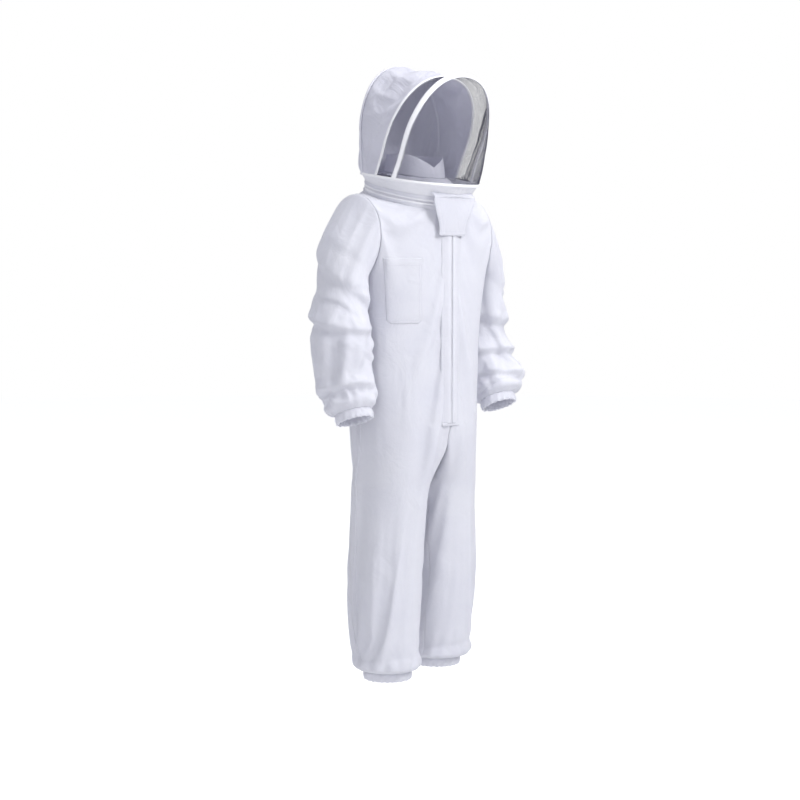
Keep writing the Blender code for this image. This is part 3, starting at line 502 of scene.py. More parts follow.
# ------------------------------------------------------------------ camera and studio
PSI = math.radians(-40.0)
cam_data = bpy.data.cameras.new("camera")
cam_data.sensor_width = 36.0
cam_data.lens = 1742 * 36.0 / 800
cam_data.clip_end = 60
cam = bpy.data.objects.new("camera", cam_data)
scene.collection.objects.link(cam)
aim = Vector((-0.0395 * math.cos(PSI), -0.0395 * math.sin(PSI), 0.907 - SHOULDER_Z))
cam.location = Vector((math.sin(PSI) * 5.0, -math.cos(PSI) * 5.0, 1.25 - SHOULDER_Z)) + Vector((aim.x, aim.y, 0))
cam.rotation_euler = (aim - cam.location).to_track_quat("-Z", "Y").to_euler()
scene.camera = cam
scene.view_settings.view_transform = "Standard"
scene.view_settings.look = "None"

world = bpy.data.worlds.new("studio")
scene.world = world
world.use_nodes = True
wn = world.node_tree
bg = wn.nodes["Background"]
bg.inputs["Color"].default_value = (0.86, 0.89, 1.0, 1)
bg.inputs["Strength"].default_value = 0.35
# the studio's white paper is brighter where it is seen than as a light
paper = wn.nodes.new("ShaderNodeBackground")
paper.inputs["Color"].default_value = (1.0, 1.0, 1.0, 1)
paper.inputs["Strength"].default_value = 1.0
pick = wn.nodes.new("ShaderNodeMixShader")
lp = wn.nodes.new("ShaderNodeLightPath")
wn.links.new(lp.outputs["Is Camera Ray"], pick.inputs[0])
wn.links.new(bg.outputs[0], pick.inputs[1])
wn.links.new(paper.outputs[0], pick.inputs[2])
wn.links.new(pick.outputs[0], wn.nodes["World Output"].inputs["Surface"])

floor_mat, nt_, fb = new_material("studio_floor")
fn = node(nt_, "ShaderNodeTexNoise", Scale=3.0, Detail=2.0)
fr_ = node(nt_, "ShaderNodeValToRGB")
fr_.color_ramp.elements[0].color = (0.53, 0.53, 0.54, 1)
fr_.color_ramp.elements[1].color = (0.55, 0.55, 0.56, 1)
nt_.links.new(fn.outputs["Fac"], fr_.inputs["Fac"])
nt_.links.new(fr_.outputs["Color"], fb.inputs["Base Color"])
fb.inputs["Roughness"].default_value = 0.7
fb.inputs["Emission Color"].default_value = (1, 1, 1, 1)
fb.inputs["Emission Strength"].default_value = 0.42
# like the paper behind, the floor is brighter where it is seen than as a light
seen_floor = nt_.nodes.new("ShaderNodeBsdfPrincipled")
nt_.links.new(fr_.outputs["Color"], seen_floor.inputs["Base Color"])
seen_floor.inputs["Roughness"].default_value = 0.7
seen_floor.inputs["Emission Color"].default_value = (1, 1, 1, 1)
seen_floor.inputs["Emission Strength"].default_value = 0.81
floor_pick = nt_.nodes.new("ShaderNodeMixShader")
floor_lp = nt_.nodes.new("ShaderNodeLightPath")
nt_.links.new(floor_lp.outputs["Is Camera Ray"], floor_pick.inputs[0])
nt_.links.new(fb.outputs[0], floor_pick.inputs[1])
nt_.links.new(seen_floor.outputs[0], floor_pick.inputs[2])
nt_.links.new(floor_pick.outputs[0], nt_.nodes["Material Output"].inputs["Surface"])
n_r = 64
fv = [(0, 0, -SHOULDER_Z)] + [(14 * math.cos(2 * math.pi * k / n_r), 14 * math.sin(2 * math.pi * k / n_r), -SHOULDER_Z) for k in range(n_r)]
floor = mesh_object("studio_floor", fv, [(0, 1 + k, 1 + (k + 1) % n_r) for k in range(n_r)], floor_mat)


def area_light(name, loc, target, size, power, colour=(1, 1, 1)):
    d = bpy.data.lights.new(name, "AREA")
    d.shape = "RECTANGLE"
    d.size, d.size_y = size
    d.energy = power
    d.color = colour
    o = bpy.data.objects.new(name, d)
    scene.collection.objects.link(o)
    o.location = loc
    o.rotation_euler = (Vector(target) - Vector(loc)).to_track_quat("-Z", "Y").to_euler()
    return o


area_light("key", (0.95, -3.25, 2.0), (0, 0, 0.0), (1.2, 1.6), 112)
area_light("fill", (-2.9, -2.3, 0.7), (0, 0, 0.0), (1.8, 1.8), 31)
area_light("back", (-1.6, 3.8, 1.2), (0, 0, -0.5), (2.2, 2.2), 32)
area_light("top", (0.4, -0.6, 3.0), (0, 0, -0.3), (3.0, 3.0), 78)


# ------------------------------------------------------------------ cloth simulation
def simulate(cloths, colliders, frames):
    """cloths: {object: settings}. Applies each result, no point moving further than its cap."""
    for o in colliders:
        o.modifiers.new("hit", "COLLISION")
        o.collision.thickness_outer = 0.004
        o.collision.cloth_friction = 8
    for o, s in cloths.items():
        md = o.modifiers.new("cloth", "CLOTH")
        c = md.settings
        c.quality = s.get("quality", 6)
        c.mass = 0.25
        c.tension_stiffness = s.get("stiff", 18)
        c.compression_stiffness = s.get("stiff", 18)
        c.shear_stiffness = s.get("shear", 6)
        c.bending_stiffness = s.get("bend", 1.2)
        c.tension_damping = c.compression_damping = c.shear_damping = 8
        c.bending_damping = 0.8
        c.air_damping = 2.5
        c.effector_weights.gravity = s.get("gravity", 0.8)
        c.vertex_group_mass = "pin"
        c.pin_stiffness = 1.0
        if "slack" in s:
            c.vertex_group_shrink = "slack"
            c.shrink_min = s.get("shrink", -0.01)
            c.shrink_max = s["slack"]
        else:
            c.shrink_min = s.get("shrink", -0.02)
        if s.get("pressure"):
            c.use_pressure = True
            c.uniform_pressure_force = s["pressure"]
        md.collision_settings.use_collision = bool(colliders)
        md.collision_settings.distance_min = 0.004
        md.collision_settings.collision_quality = 2
        md.collision_settings.use_self_collision = False
        md.point_cache.frame_start = 1
        md.point_cache.frame_end = frames
    scene.frame_start, scene.frame_end = 1, frames
    for k in range(1, frames + 1):
        scene.frame_set(k)
    dg = bpy.context.evaluated_depsgraph_get()
    for o, s in cloths.items():
        e = o.evaluated_get(dg).data
        n = len(o.data.vertices)
        a, b = np.empty(3 * n), np.empty(3 * n)
        o.data.vertices.foreach_get("co", a)
        e.vertices.foreach_get("co", b)
        a, d = a.reshape(-1, 3), (b - a).reshape(-1, 3)
        d[~np.isfinite(d)] = 0
        bulk = blur(o.data, d, s.get("blur", 70))
        fine = d - bulk

        def capped(v, cap):
            length = np.linalg.norm(v, axis=1)
            return v * (cap * np.tanh(length / cap) / np.maximum(length, 1e-9))[:, None]
        hold = np.zeros(n)
        g = o.vertex_groups["pin"].index
        for v in o.data.vertices:
            for w in v.groups:
                if w.group == g:
                    hold[v.index] = w.weight
        soft = blur(o.data, (1 - (hold > 0.99)).astype(float)[:, None], 5)
        soft[hold > 0.99] = 0
        move = capped(bulk * 0.6, s.get("drift", 0.007)) + capped(fine * s.get("gain", 1.0), s.get("cap", 0.016))
        print(o.name, "drift", round(float(np.linalg.norm(bulk, axis=1).mean()), 4), "folds", round(float(np.linalg.norm(fine, axis=1).mean()), 4))
        a = a + move * soft
        o.modifiers.clear()
        o.data.vertices.foreach_set("co", a.ravel())
        o.data.update()
    for o in colliders:
        bpy.data.objects.remove(o, do_unlink=True)
    scene.frame_set(1)


def blur(me, field, rounds):
    """A field over a mesh's points, smoothed along its edges."""
    e = np.empty(2 * len(me.edges), dtype=np.int64)
    me.edges.foreach_get("vertices", e)
    e = e.reshape(-1, 2)
    i = np.concatenate([e[:, 0], e[:, 1]])
    j = np.concatenate([e[:, 1], e[:, 0]])
    n = len(me.vertices)
    deg = np.maximum(np.bincount(i, minlength=n), 1)[:, None]
    f = field.copy()
    for _ in range(rounds):
        acc = np.stack([np.bincount(i, weights=f[j, c], minlength=n) for c in range(f.shape[1])], axis=1)
        f = 0.5 * f + 0.5 * acc / deg
    return f


def group(ob, name, weights):
    g = ob.vertex_groups.new(name=name)
    for i, w in weights.items():
        if w > 0:
            g.add([i], w, "REPLACE")
    return g


# ------------------------------------------------------------------ body and legs as one cloth
def leg_gather(side, z, w):
    """Radial offset of the pleats that the ankle elastic draws up, and the rolls that stack on them."""
    fade = smooth((0.36 - z) / 0.20)
    if fade <= 0:
        return 0.0
    ph = 1.3 * side
    wob = 0.55 + 0.6 * nz(2.2 * math.cos(w), 2.2 * math.sin(w), 5 * z, 3 + side)
    a = crease(14 * w + ph + 2.6 * nz(1.5 * math.cos(w), 1.5 * math.sin(w), 6 * z, 5 + side))
    tilt = 1.4 * math.cos(w + side) + 1.5 * nz(1.2 * math.cos(w), 1.2 * math.sin(w), 3 * z, 9 + side)
    roll = crease((z - 0.165) / 0.0125 + tilt) * (0.6 + 0.5 * nz(1.1 * math.cos(w), 1.1 * math.sin(w), 9 * z, 13 + side))
    low = smooth((z - 0.146) / 0.016)
    near = smooth((0.27 - z) / 0.10)
    return fade * (0.0056 * a * wob * lerp(0.5, 1.0, low) * smooth((0.26 - z) / 0.09) + 0.0115 * roll * low * near) + 0.006 * low * smooth((0.21 - z) / 0.03)


def torso_push(p, side):
    """Long soft folds that the hanging cloth keeps: outward offsets in plan."""
    x, f, z = p
    out = 0.0
    ang = math.atan2(x * side, f)
    # long drapes down the front and sides
    out += 0.0030 * math.sin(5.0 * ang + 2.2 * nz(0.6 * ang, z * 2.2, 0, 1)) * smooth((1.30 - z) / 0.35)
    # faint drag lines at the waist
    out += 0.0022 * math.sin(z * 50 + 2.5 * ang + 3.5 * nz(ang * 1.2, z * 3, 0, 2)) * math.exp(-((z - 1.02) / 0.06) ** 2)
    if f > 0:
        # one long fold each side, from under the arm towards the crotch
        xc = lerp(0.150, 0.080, smooth((z - 0.86) / 0.38)) - 0.010 * side
        t = (x - xc) / 0.026
        fade = smooth((1.32 - z) / 0.16) * smooth((z - 0.815) / 0.08)
        out += (0.0075 if side < 0 else 0.0050) * fade * -t * math.exp(0.5 - 0.5 * t * t)
    return out


suit = Skin()
MID = P(0, 0, 1.1)
bottom = {}
z_levels = [0.800, 0.816, 0.832, 0.844, 0.856]
nlow = int(round((1.250 - 0.856) / STEP))
z_levels += [lerp(0.856, 1.250, k / nlow) for k in range(1, nlow)]
NU = 24
marks = {"neck": set(), "arm": set(), "zip": set(), "ankle": set(), "side": set(), "back": set()}
for side in (1, -1):
    for front in (True, False):
        rows = []
        for z in z_levels:
            start = ZIP_SLOT if front and z >= ZIP_BOTTOM - 1e-6 else 0.0
            row = []
            for i, p in enumerate(quarter(z, front, start, NQ)):
                x, f, zz = p
                w = smooth(i / 5) if front else 1.0
                if not front and i == 0:
                    w = 1.0
                d = Vector((x, f)).normalized() * torso_push((x, f, zz), side) * w
                row.append(P(side * (x + d.x), f + d.y, zz))
                if not front and i == 0:
                    row[-1] = P(0, f + d.y, zz)
            rows.append(row)
        start = ZIP_SLOT if front else 0.0
        for row in upper_rows(front, NQ, NU, start):
            rows.append([P(side * p.x, p.y, p.z) for p in row])
        bottom[side, front] = rows[0]
        # share the side seam between front and back
        if front:
            side_edge = [r[-1] for r in rows[:len(z_levels)]]
        else:
            for r, p in zip(rows, side_edge):
                r[-1] = p
        tag = ("front_" if front else "back_") + ("left" if side > 0 else "right")
        idx = suit.grid(rows, tag, MID)
        nz0 = len(z_levels)
        marks["arm"] |= {r[-1] for r in idx[nz0:]}
        split = int(round(0.40 * NU))
        marks["neck"] |= {r[0] for r in idx[nz0 + split:]}
        if front:
            marks["zip"] |= {idx[j][0] for j in range(len(idx)) if j < len(z_levels) and z_levels[j] >= ZIP_BOTTOM - 1e-6}
            marks["zip"] |= {r[0] for r in idx[nz0:nz0 + split + 1]}

N_CROTCH = 14
inseam = {}
for side in (1, -1):
    fr, bk = bottom[side, True], bottom[side, False]
    top = list(fr) + list(reversed(bk))[1:]
    a, b = bk[0], fr[0]
    for k in range(1, N_CROTCH):
        t = k / N_CROTCH
        p = a.lerp(b, t)
        p.x = 0.0
        p.z -= 0.022 * math.sin(math.pi * t) ** 0.8
        top.append(p)
    n = len(top)
    cx, cf = side * 0.096, 0.012
    raw = [math.atan2(p.x - cx, -p.y - cf) for p in top]
    first = raw[0]
    turn = [((r - first) * side) % (2 * math.pi) for r in raw]
    even = [2 * math.pi * k / n for k in range(n)]
    rows = [top]
    zs = []
    z = 0.79
    while z > 0.1445 + 0.008:
        zs.append(z)
        z -= 0.0100 if z > 0.36 else 0.0078
    zs.append(0.1445)
    for z in zs:
        x0, f0, ra, rb = table(LEGS[side], min(z, 0.720))
        mix = smooth((0.80 - z) / 0.13)
        ang = [first * side + lerp(t, e, 0.5 + 0.4 * mix) for t, e in zip(turn, even)]
        row = []
        for p, w in zip(top, ang):
            d = leg_gather(side, z, w)
            d += 0.0040 * math.sin(4 * w + 2.4 * nz(0.8 * math.cos(w), 0.8 * math.sin(w), z * 1.6, 11 + side)) * smooth((0.74 - z) / 0.1) * smooth((z - 0.2) / 0.1)
            d += 0.0032 * crease(z * 62 + 3.0 * math.cos(w - 0.6 * side) + 4.0 * nz(0.9 * math.cos(w), 0.9 * math.sin(w), z * 2.2, 15 + side)) * math.exp(-((z - 0.44) / 0.085) ** 2)
            q = P(side * x0 + side * (ra + d) * math.sin(w), f0 + (rb + d) * math.cos(w), z)
            s = Vector((lerp(p.x, q.x, mix), lerp(p.y, q.y, mix), z + (p.z - (0.80 - SHOULDER_Z)) * (1 - mix) - SHOULDER_Z))
            row.append(s)
        rows.append(row)
    word = "left" if side > 0 else "right"
    nc = n - N_CROTCH // 2

    def part(i, w=word, nf=len(fr) - 1, nb=len(fr) + len(bk) - 2, nc=nc):
        return "back_" + w if nf <= i < nc else "front_" + w
    idx = suit.grid(rows, "", P(side * 0.11, 0, 0.45), closed=True, split=part)
    marks["ankle"] |= set(idx[-1])
    inseam[side] = [r[nc] for r in idx]

body = suit.object("suit_body")
pins = {}
for i in marks["neck"] | marks["arm"] | marks["zip"] | marks["ankle"]:
    pins[i] = 1.0
co = np.array([tuple(v) for v in suit.v])
height = co[:, 2] + SHOULDER_Z
for i, v in enumerate(suit.v):
    if i in pins:
        continue
    z = height[i]
    # shoulders lie on the wearer
    pins[i] = 0.25 * smooth((z - 1.42) / 0.05)
group(body, "pin", pins)
slack = {}
for i, v in enumerate(suit.v):
    z = height[i]
    s = 0.55 * smooth((0.36 - z) / 0.15)
    s = max(s, 0.30 * math.exp(-((z - 1.02) / 0.10) ** 2))
    s = max(s, 0.25 * math.exp(-((z - 0.72) / 0.09) ** 2))
    s = max(s, 0.22 * smooth((1.44 - z) / 0.1) * smooth((z - 1.25) / 0.08))
    slack[i] = s
group(body, "slack", slack)


# ------------------------------------------------------------------ sleeves
ARM_FOLDS = {
    -1: [(232, 1.322, 62, 1.180, 0.036, 0.0110), (205, 1.372, 95, 1.300, 0.030, 0.0050), (240, 1.142, 40, 1.102, 0.020, 0.0105),
         (200, 1.218, 110, 1.168, 0.022, 0.0055), (215, 0.944, 60, 0.950, 0.016, 0.0080), (40, 1.060, -60, 1.120, 0.030, 0.0090),
         (-40, 1.230, -140, 1.160, 0.035, 0.0100), (70, 1.040, -20, 1.000, 0.020, 0.0060)],
    1: [(20, 1.290, 165, 1.200, 0.040, 0.0100), (10, 1.150, 150, 1.118, 0.030, 0.0100), (-10, 1.040, 160, 1.018, 0.022, 0.0130),
        (20, 0.962, 160, 0.950, 0.016, 0.0080), (200, 1.130, 320, 1.170, 0.030, 0.0110), (210, 1.040, 330, 1.010, 0.024, 0.0080)],
}


def sleeve_skin(side, na=64):
    sk = Skin()
    fan_len = 0.16
    rows, tags = [], []
    nf = 20
    for k in range(nf + 1):
        t = k / nf
        deg = 90 * t ** 1.25
        h, b = table(FAN, deg)
        beta = math.radians(deg)
        kk = 6 * t
        px, pz = ARM_X + 0.0008 + 0.0003 * kk, ARM_Z - ARM_R - 0.0035 * kk
        f0 = lerp(ARM_F, SLEEVES[side][0][2], (deg / 90) ** 2 * 0.7)
        row = []
        for i in range(na):
            a = 2 * math.pi * i / na
            along, across = h * (1 - math.cos(a)), b * math.sin(a)
            q = P(side * (px + math.sin(beta) * along), f0 + across, pz + math.cos(beta) * along)
            if k:
                out = Vector((side * math.sin(beta) * -math.cos(a), -math.sin(a), math.cos(beta) * -math.cos(a)))
                far = 0.5 - 0.5 * math.cos(a)
                q += out.normalized() * drape(math.degrees(a), q.z + SHOULDER_Z, ARM_FOLDS[side]) * far * smooth(t / 0.25)
            row.append(q)
        rows.append(row)
    last = rows[-1]
    z_top = SLEEVES[side][0][0]
    start = ARM_Z - ARM_R - 0.021
    base = [(start, ARM_X + 0.0026 + 0.0575, lerp(ARM_F, SLEEVES[side][0][2], 0.7), 0.0575, 0.0870, 0)] + SLEEVES[side]
    zs = []
    z = start - 0.010
    while z > base[-1][0] + 0.004:
        zs.append(z)
        z -= 0.0078 if z > 1.0 else 0.0060
    zs.append(base[-1][0])
    for z in zs:
        x0, f0, ra, rb, tilt = table(base, z)
        t = math.radians(tilt)
        zr = (z - base[-1][0])
        row = []
        for i in range(na):
            a = 2 * math.pi * i / na
            d = 0.0
            # pleats drawn up by the wrist elastic
            fade = smooth((0.12 - zr) / 0.11)
            wob = 0.7 + 0.8 * nz(1.8 * math.cos(a), 1.8 * math.sin(a), 7 * z, 21 + side)
            d += fade * 0.0046 * wob * crease(13 * a + 2.6 * nz(1.4 * math.cos(a), 1.4 * math.sin(a), 7 * z, 23 + side)) * lerp(0.5, 1.0, smooth(zr / 0.03))
            # sagging rolls over the cuff
            d += 0.0050 * crease(zr / 0.0095 + 2.2 * math.cos(a + 0.6) + 2.0 * nz(math.cos(a), math.sin(a), 0, 27 + side)) * smooth(zr / 0.02) * smooth((0.085 - zr) / 0.05)
            d += 0.0040 * smooth(zr / 0.015) * smooth((0.06 - zr) / 0.03)
            # draped folds, and one long hollow down the forearm
            deg = math.degrees(a)
            d += 1.25 * drape(deg, z, ARM_FOLDS[side]) * smooth((start - z) / 0.04)
            d -= 0.0064 * crumple(1.3 * math.cos(a) + 6 * z, 1.3 * math.sin(a), 9.5 * z, 121 + side) * smooth((start - z) / 0.10) * smooth((z - 0.90) / 0.03)
            ac = (152 if side < 0 else 75) + 60 * (1.03 - z)
            g = ((deg - ac + 180) % 360 - 180) / 15
            d -= 0.0085 * (math.exp(-g * g) - 0.5 * math.exp(-(g - 1.7) ** 2) - 0.5 * math.exp(-(g + 1.7) ** 2)) * smooth((1.115 - z) / 0.03) * smooth((z - 0.945) / 0.03)
            q = P(side * (x0 - (ra + d) * math.cos(a)),
                  f0 + (rb + d) * math.sin(a) * math.cos(t),
                  z + (rb + d) * math.sin(a) * math.sin(t))
            # the sleeve keeps clear of the body
            if side * q.x < ARM_X + 0.0012:
                q.x = side * (ARM_X + 0.0012)
            row.append(q)
        rows.append(row)
    idx = sk.grid(rows, "sleeve", P(side * 0.275, 0.0, 1.15), closed=True)
    return sk, idx


sleeves = {}
for side, word in ((1, "left"), (-1, "right")):
    sk, idx = sleeve_skin(side)
    ob = sk.object("sleeve_cloth_" + word)
    pins = {i: 1.0 for i in idx[0]}
    for i in idx[-1]:
        pins[i] = 1.0
    n = len(idx)
    slack = {}
    for j, r in enumerate(idx):
        s = j / (n - 1)
        for i in r:
            pins.setdefault(i, 0.30 * smooth((0.10 - s) / 0.10))
            slack[i] = max(0.15, 0.6 * smooth((s - 0.62) / 0.25), 0.35 * math.exp(-((s - 0.45) / 0.12) ** 2))
    group(ob, "pin", pins)
    group(ob, "slack", slack)
    sleeves[side] = (ob, sk, idx)


# hidden dress form that the cloth falls against
def ring_loft(name, rings, n=28):
    verts, faces = [], []
    for c, ex, ey in rings:
        for k in range(n):
            a = 2 * math.pi * k / n
            verts.append(c + ex * math.sin(a) + ey * math.cos(a))
    for j in range(len(rings) - 1):
        for k in range(n):
            l = (k + 1) % n
            faces.append([j * n + k, j * n + l, (j + 1) * n + l, (j + 1) * n + k])
    ob = mesh_object(name, verts, faces)
    me = ob.data
    if sum(p.normal.dot(p.center - Vector(rings[min(len(rings) - 1, p.index // n)][0])) for p in me.polygons) < 0:
        me.flip_normals()
    return ob


def form():
    out = []
    y = Vector((0, -1, 0))
    rings = []
    for z, a, b, f in [(0.79, 0.155, 0.118, 0.004), (0.92, 0.168, 0.118, 0.0), (1.02, 0.150, 0.105, 0.004), (1.15, 0.160, 0.112, 0.008),
                       (1.28, 0.176, 0.112, 0.010), (1.38, 0.180, 0.100, 0.006), (1.44, 0.165, 0.082, 0.004), (1.475, 0.12, 0.06, 0.0), (1.50, 0.06, 0.05, 0.0)]:
        rings.append((P(0, f, z), Vector((a, 0, 0)), y * b))
    out.append(ring_loft("form_torso", rings))
    for side in (1, -1):
        rings = []
        for z in (0.80, 0.70, 0.60, 0.50, 0.40, 0.30, 0.20, 0.12):
            x0, f0, ra, rb = table(LEGS[side], min(z, 0.72))
            r = table([(0.12, 0.042), (0.30, 0.056), (0.50, 0.060), (0.70, 0.078), (0.80, 0.082)], z)[0]
            rings.append((P(side * x0, f0 - 0.004, z), Vector((r, 0, 0)), y * r * 1.08))
        out.append(ring_loft("form_leg", rings))
        rings = []
        for z, x0, f0, ra, rb, tilt in [(1.42, 0.20, ARM_F, 0, 0, 0), (1.34, 0.245, ARM_F, 0, 0, 0), (1.26, 0.262, ARM_F + 0.004, 0, 0, 0)] + SLEEVES[side]:
            r = table([(0.88, 0.028), (1.05, 0.040), (1.30, 0.047), (1.42, 0.045)], z)[0]
            rings.append((P(side * x0, f0 - 0.004, z), Vector((r, 0, 0)), y * r * 1.1))
        out.append(ring_loft("form_arm", rings))
    return out


simulate({body: dict(gravity=0.9, stiff=14, bend=0.35, shear=5, slack=-0.060, shrink=-0.012, cap=0.012, drift=0.006, gain=0.95),
          sleeves[1][0]: dict(gravity=0.9, stiff=12, bend=0.30, slack=-0.070, shrink=-0.015, cap=0.010, drift=0.005, gain=0.45, blur=50),
          sleeves[-1][0]: dict(gravity=0.9, stiff=12, bend=0.30, slack=-0.070, shrink=-0.015, cap=0.010, drift=0.005, gain=0.45, blur=50)},
         form(), FRAMES)

# the sleeves stay clear of the body, so that they can swing past it
for side in (1, -1):
    ob = sleeves[side][0]
    for v in ob.data.vertices:
        if side * v.co.x < ARM_X + 0.0011:
            v.co.x = side * (ARM_X + 0.0011)
for v in body.data.vertices:
    z = v.co.z + SHOULDER_Z
    lim = ARM_X - 0.0004 if z > 0.80 else 1.0
    if abs(v.co.x) > lim:
        v.co.x = math.copysign(lim, v.co.x)
body.data.update()
co = np.empty(3 * len(body.data.vertices))
body.data.vertices.foreach_get("co", co)
co = co.reshape(-1, 3)
BODY_TREE = BVHTree.FromPolygons([tuple(c) for c in co], suit.f)


# ------------------------------------------------------------------ cut the cloth into its panels
def panel(name, source, tags, labels, mat, body_name, nodes, thick=0.0011, levels=1):
    """The labelled faces of a skin as their own piece, thickened inwards."""
    me = source.data
    faces, uvs, used = [], [], {}
    uvl = me.uv_layers[0].data
    for p in me.polygons:
        if labels[p.index] not in tags:
            continue
        f = []
        for vi in p.vertices:
            if vi not in used:
                used[vi] = len(used)
            f.append(used[vi])
        faces.append(f)
        uvs.append([tuple(uvl[li].uv) for li in p.loop_indices])
    verts = [None] * len(used)
    for vi, k in used.items():
        verts[k] = tuple(me.vertices[vi].co)
    nm = bpy.data.meshes.new(name)
    nm.from_pydata(verts, [], faces)
    layer = nm.uv_layers.new(name="cloth")
    k = 0
    for fu in uvs:
        for uv in fu:
            layer.data[k].uv = uv
            k += 1
    nm.materials.append(mat)
    ob = bpy.data.objects.new(name, nm)
    scene.collection.objects.link(ob)
    if levels:
        sub = ob.modifiers.new("sub", "SUBSURF")
        sub.levels = sub.render_levels = levels
        sub.boundary_smooth = "PRESERVE_CORNERS"
    sol = ob.modifiers.new("thick", "SOLIDIFY")
    sol.thickness = thick
    sol.offset = -1
    sol.use_even_offset = False
    apply_all(ob)
    ob.data.shade_smooth()
    return rides(ob, body_name, nodes)


panel("front_left_panel", body, {"front_left"}, suit.tag, COTTON, "suit", ["front_body_left", "trouser_leg_left"])
panel("front_right_panel", body, {"front_right"}, suit.tag, COTTON, "suit", ["front_body_right", "trouser_leg_right"])
panel("back_panel", body, {"back_left", "back_right"}, suit.tag, COTTON, "suit", ["back_body"])
for side, word in ((1, "left"), (-1, "right")):
    ob, sk, idx = sleeves[side]
    panel(word + "_sleeve_cloth", ob, {"sleeve"}, sk.tag, COTTON, word + "_sleeve", ["sleeve_" + word])


# ------------------------------------------------------------------ swept strips, welts and stitches
def sweep(name, path, frames, profile, mat, closed=False, vscale=1.0):
    """profile: points (a, b) in each frame's two directions; a closed tube with caps."""
    verts, faces, uvs, m, n = [], [], [], len(profile), len(path)
    s = 0.0
    for i, (p, (ea, eb)) in enumerate(zip(path, frames)):
        if i:
            s += (path[i] - path[i - 1]).length
        t = 0.0
        for k, (a, b) in enumerate(profile):
            verts.append(p + ea * a + eb * b)
            if k:
                t += math.dist(profile[k], profile[k - 1])
            uvs.append((t, s * vscale))
    for i in range(n if closed else n - 1):
        j = (i + 1) % n
        for k in range(m):
            l = (k + 1) % m
            faces.append([i * m + k, i * m + l, j * m + l, j * m + k])
    if not closed:
        faces.append(list(reversed(range(m))))
        faces.append([(n - 1) * m + k for k in range(m)])
    ob = mesh_object(name, verts, faces, mat, uvs=uvs)
    fix_normals(ob)
    return ob


def fix_normals(ob):
    import bmesh
    bm = bmesh.new()
    bm.from_mesh(ob.data)
    bmesh.ops.recalc_face_normals(bm, faces=bm.faces)
    if bm.calc_volume(signed=True) < 0:
        bmesh.ops.reverse_faces(bm, faces=bm.faces)
    bm.to_mesh(ob.data)
    bm.free()
    ob.data.shade_smooth()


def join(name, obs, mat=None):
    """Several meshes as one piece."""
    verts, faces, uvs = [], [], []
    for o in obs:
        off = len(verts)
        verts += [v.co.copy() for v in o.data.vertices]
        faces += [[off + i for i in p.vertices] for p in o.data.polygons]
        m = mat or o.data.materials[0]
        layer = o.data.uv_layers[0].data if o.data.uv_layers else None
        uv = [(0.0, 0.0)] * len(o.data.vertices)
        if layer:
            for lp in o.data.loops:
                uv[lp.vertex_index] = tuple(layer[lp.index].uv)
        uvs += uv
        bpy.data.objects.remove(o, do_unlink=True)
    return mesh_object(name, verts, faces, m, uvs=uvs)


def ellipse(ra, rb, n=10):
    return [(ra * math.cos(2 * math.pi * k / n), rb * math.sin(2 * math.pi * k / n)) for k in range(n)]


def resample(pts, pitch, closed=False):
    pts = list(pts) + ([pts[0]] if closed else [])
    run = [0.0]
    for a, b in zip(pts, pts[1:]):
        run.append(run[-1] + (b - a).length)
    n = max(2, int(round(run[-1] / pitch)))
    out, j = [], 0
    for k in range(n if closed else n + 1):
        want = run[-1] * k / n
        while j < len(run) - 2 and run[j + 1] < want:
            j += 1
        t = (want - run[j]) / max(run[j + 1] - run[j], 1e-12)
        out.append(pts[j].lerp(pts[j + 1], t))
    return out


def stitches(lines, name, body_name, pitch=0.0034, length=0.0023, r=0.00032, mat=None):
    """Rows of thread dashes. lines: (points, outward normals or a function, closed)."""
    verts, faces = [], []
    for pts, nrm, closed in lines:
        fine = resample(pts, pitch, closed)
        for a, b in zip(fine, fine[1:]):
            t = (b - a)
            if t.length < 1e-6:
                continue
            t.normalize()
            n = (nrm(a) if callable(nrm) else nrm)
            n = (n - t * n.dot(t))
            if n.length < 1e-6:
                continue
            n.normalize()
            s = t.cross(n)
            c0, c1 = a + t * (pitch - length) / 2, a + t * (pitch + length) / 2
            off = len(verts)
            for c, k in ((c0, 0.35), ((c0 + c1) / 2, 1.0), (c1, 0.35)):
                c = c + n * r * (k * 1.2 - 0.3)
                verts += [c + s * r, c + n * r * k, c - s * r, c - n * r * k]
            for j in (0, 1):
                for k in range(4):
                    l = (k + 1) % 4
                    faces.append([off + j * 4 + k, off + j * 4 + l, off + (j + 1) * 4 + l, off + (j + 1) * 4 + k])
            faces.append([off + 3, off + 2, off + 1, off])
            faces.append([off + 8, off + 9, off + 10, off + 11])
    ob = mesh_object(name, verts, faces, mat or THREAD)
    fix_normals(ob)
    return rides(ob, body_name, ())


def on_body(p, lift=0.0):
    hit, n, _, _ = BODY_TREE.find_nearest(p)
    c = Vector((0, 0.0, p.z))
    if n.dot(hit - c) < 0:
        n = -n
    return hit + n * lift, n


def body_edge(index_rows):
    return [Vector(co[i]) for i in index_rows]


# side seams, which run on down the legs, and the centre back seam: low welts that follow the cloth
def seam_path(points, lift=0.0):
    out, fr = [], []
    for p in points:
        q, n = on_body(p, lift)
        out.append(q)
        fr.append(n)
    return out, fr


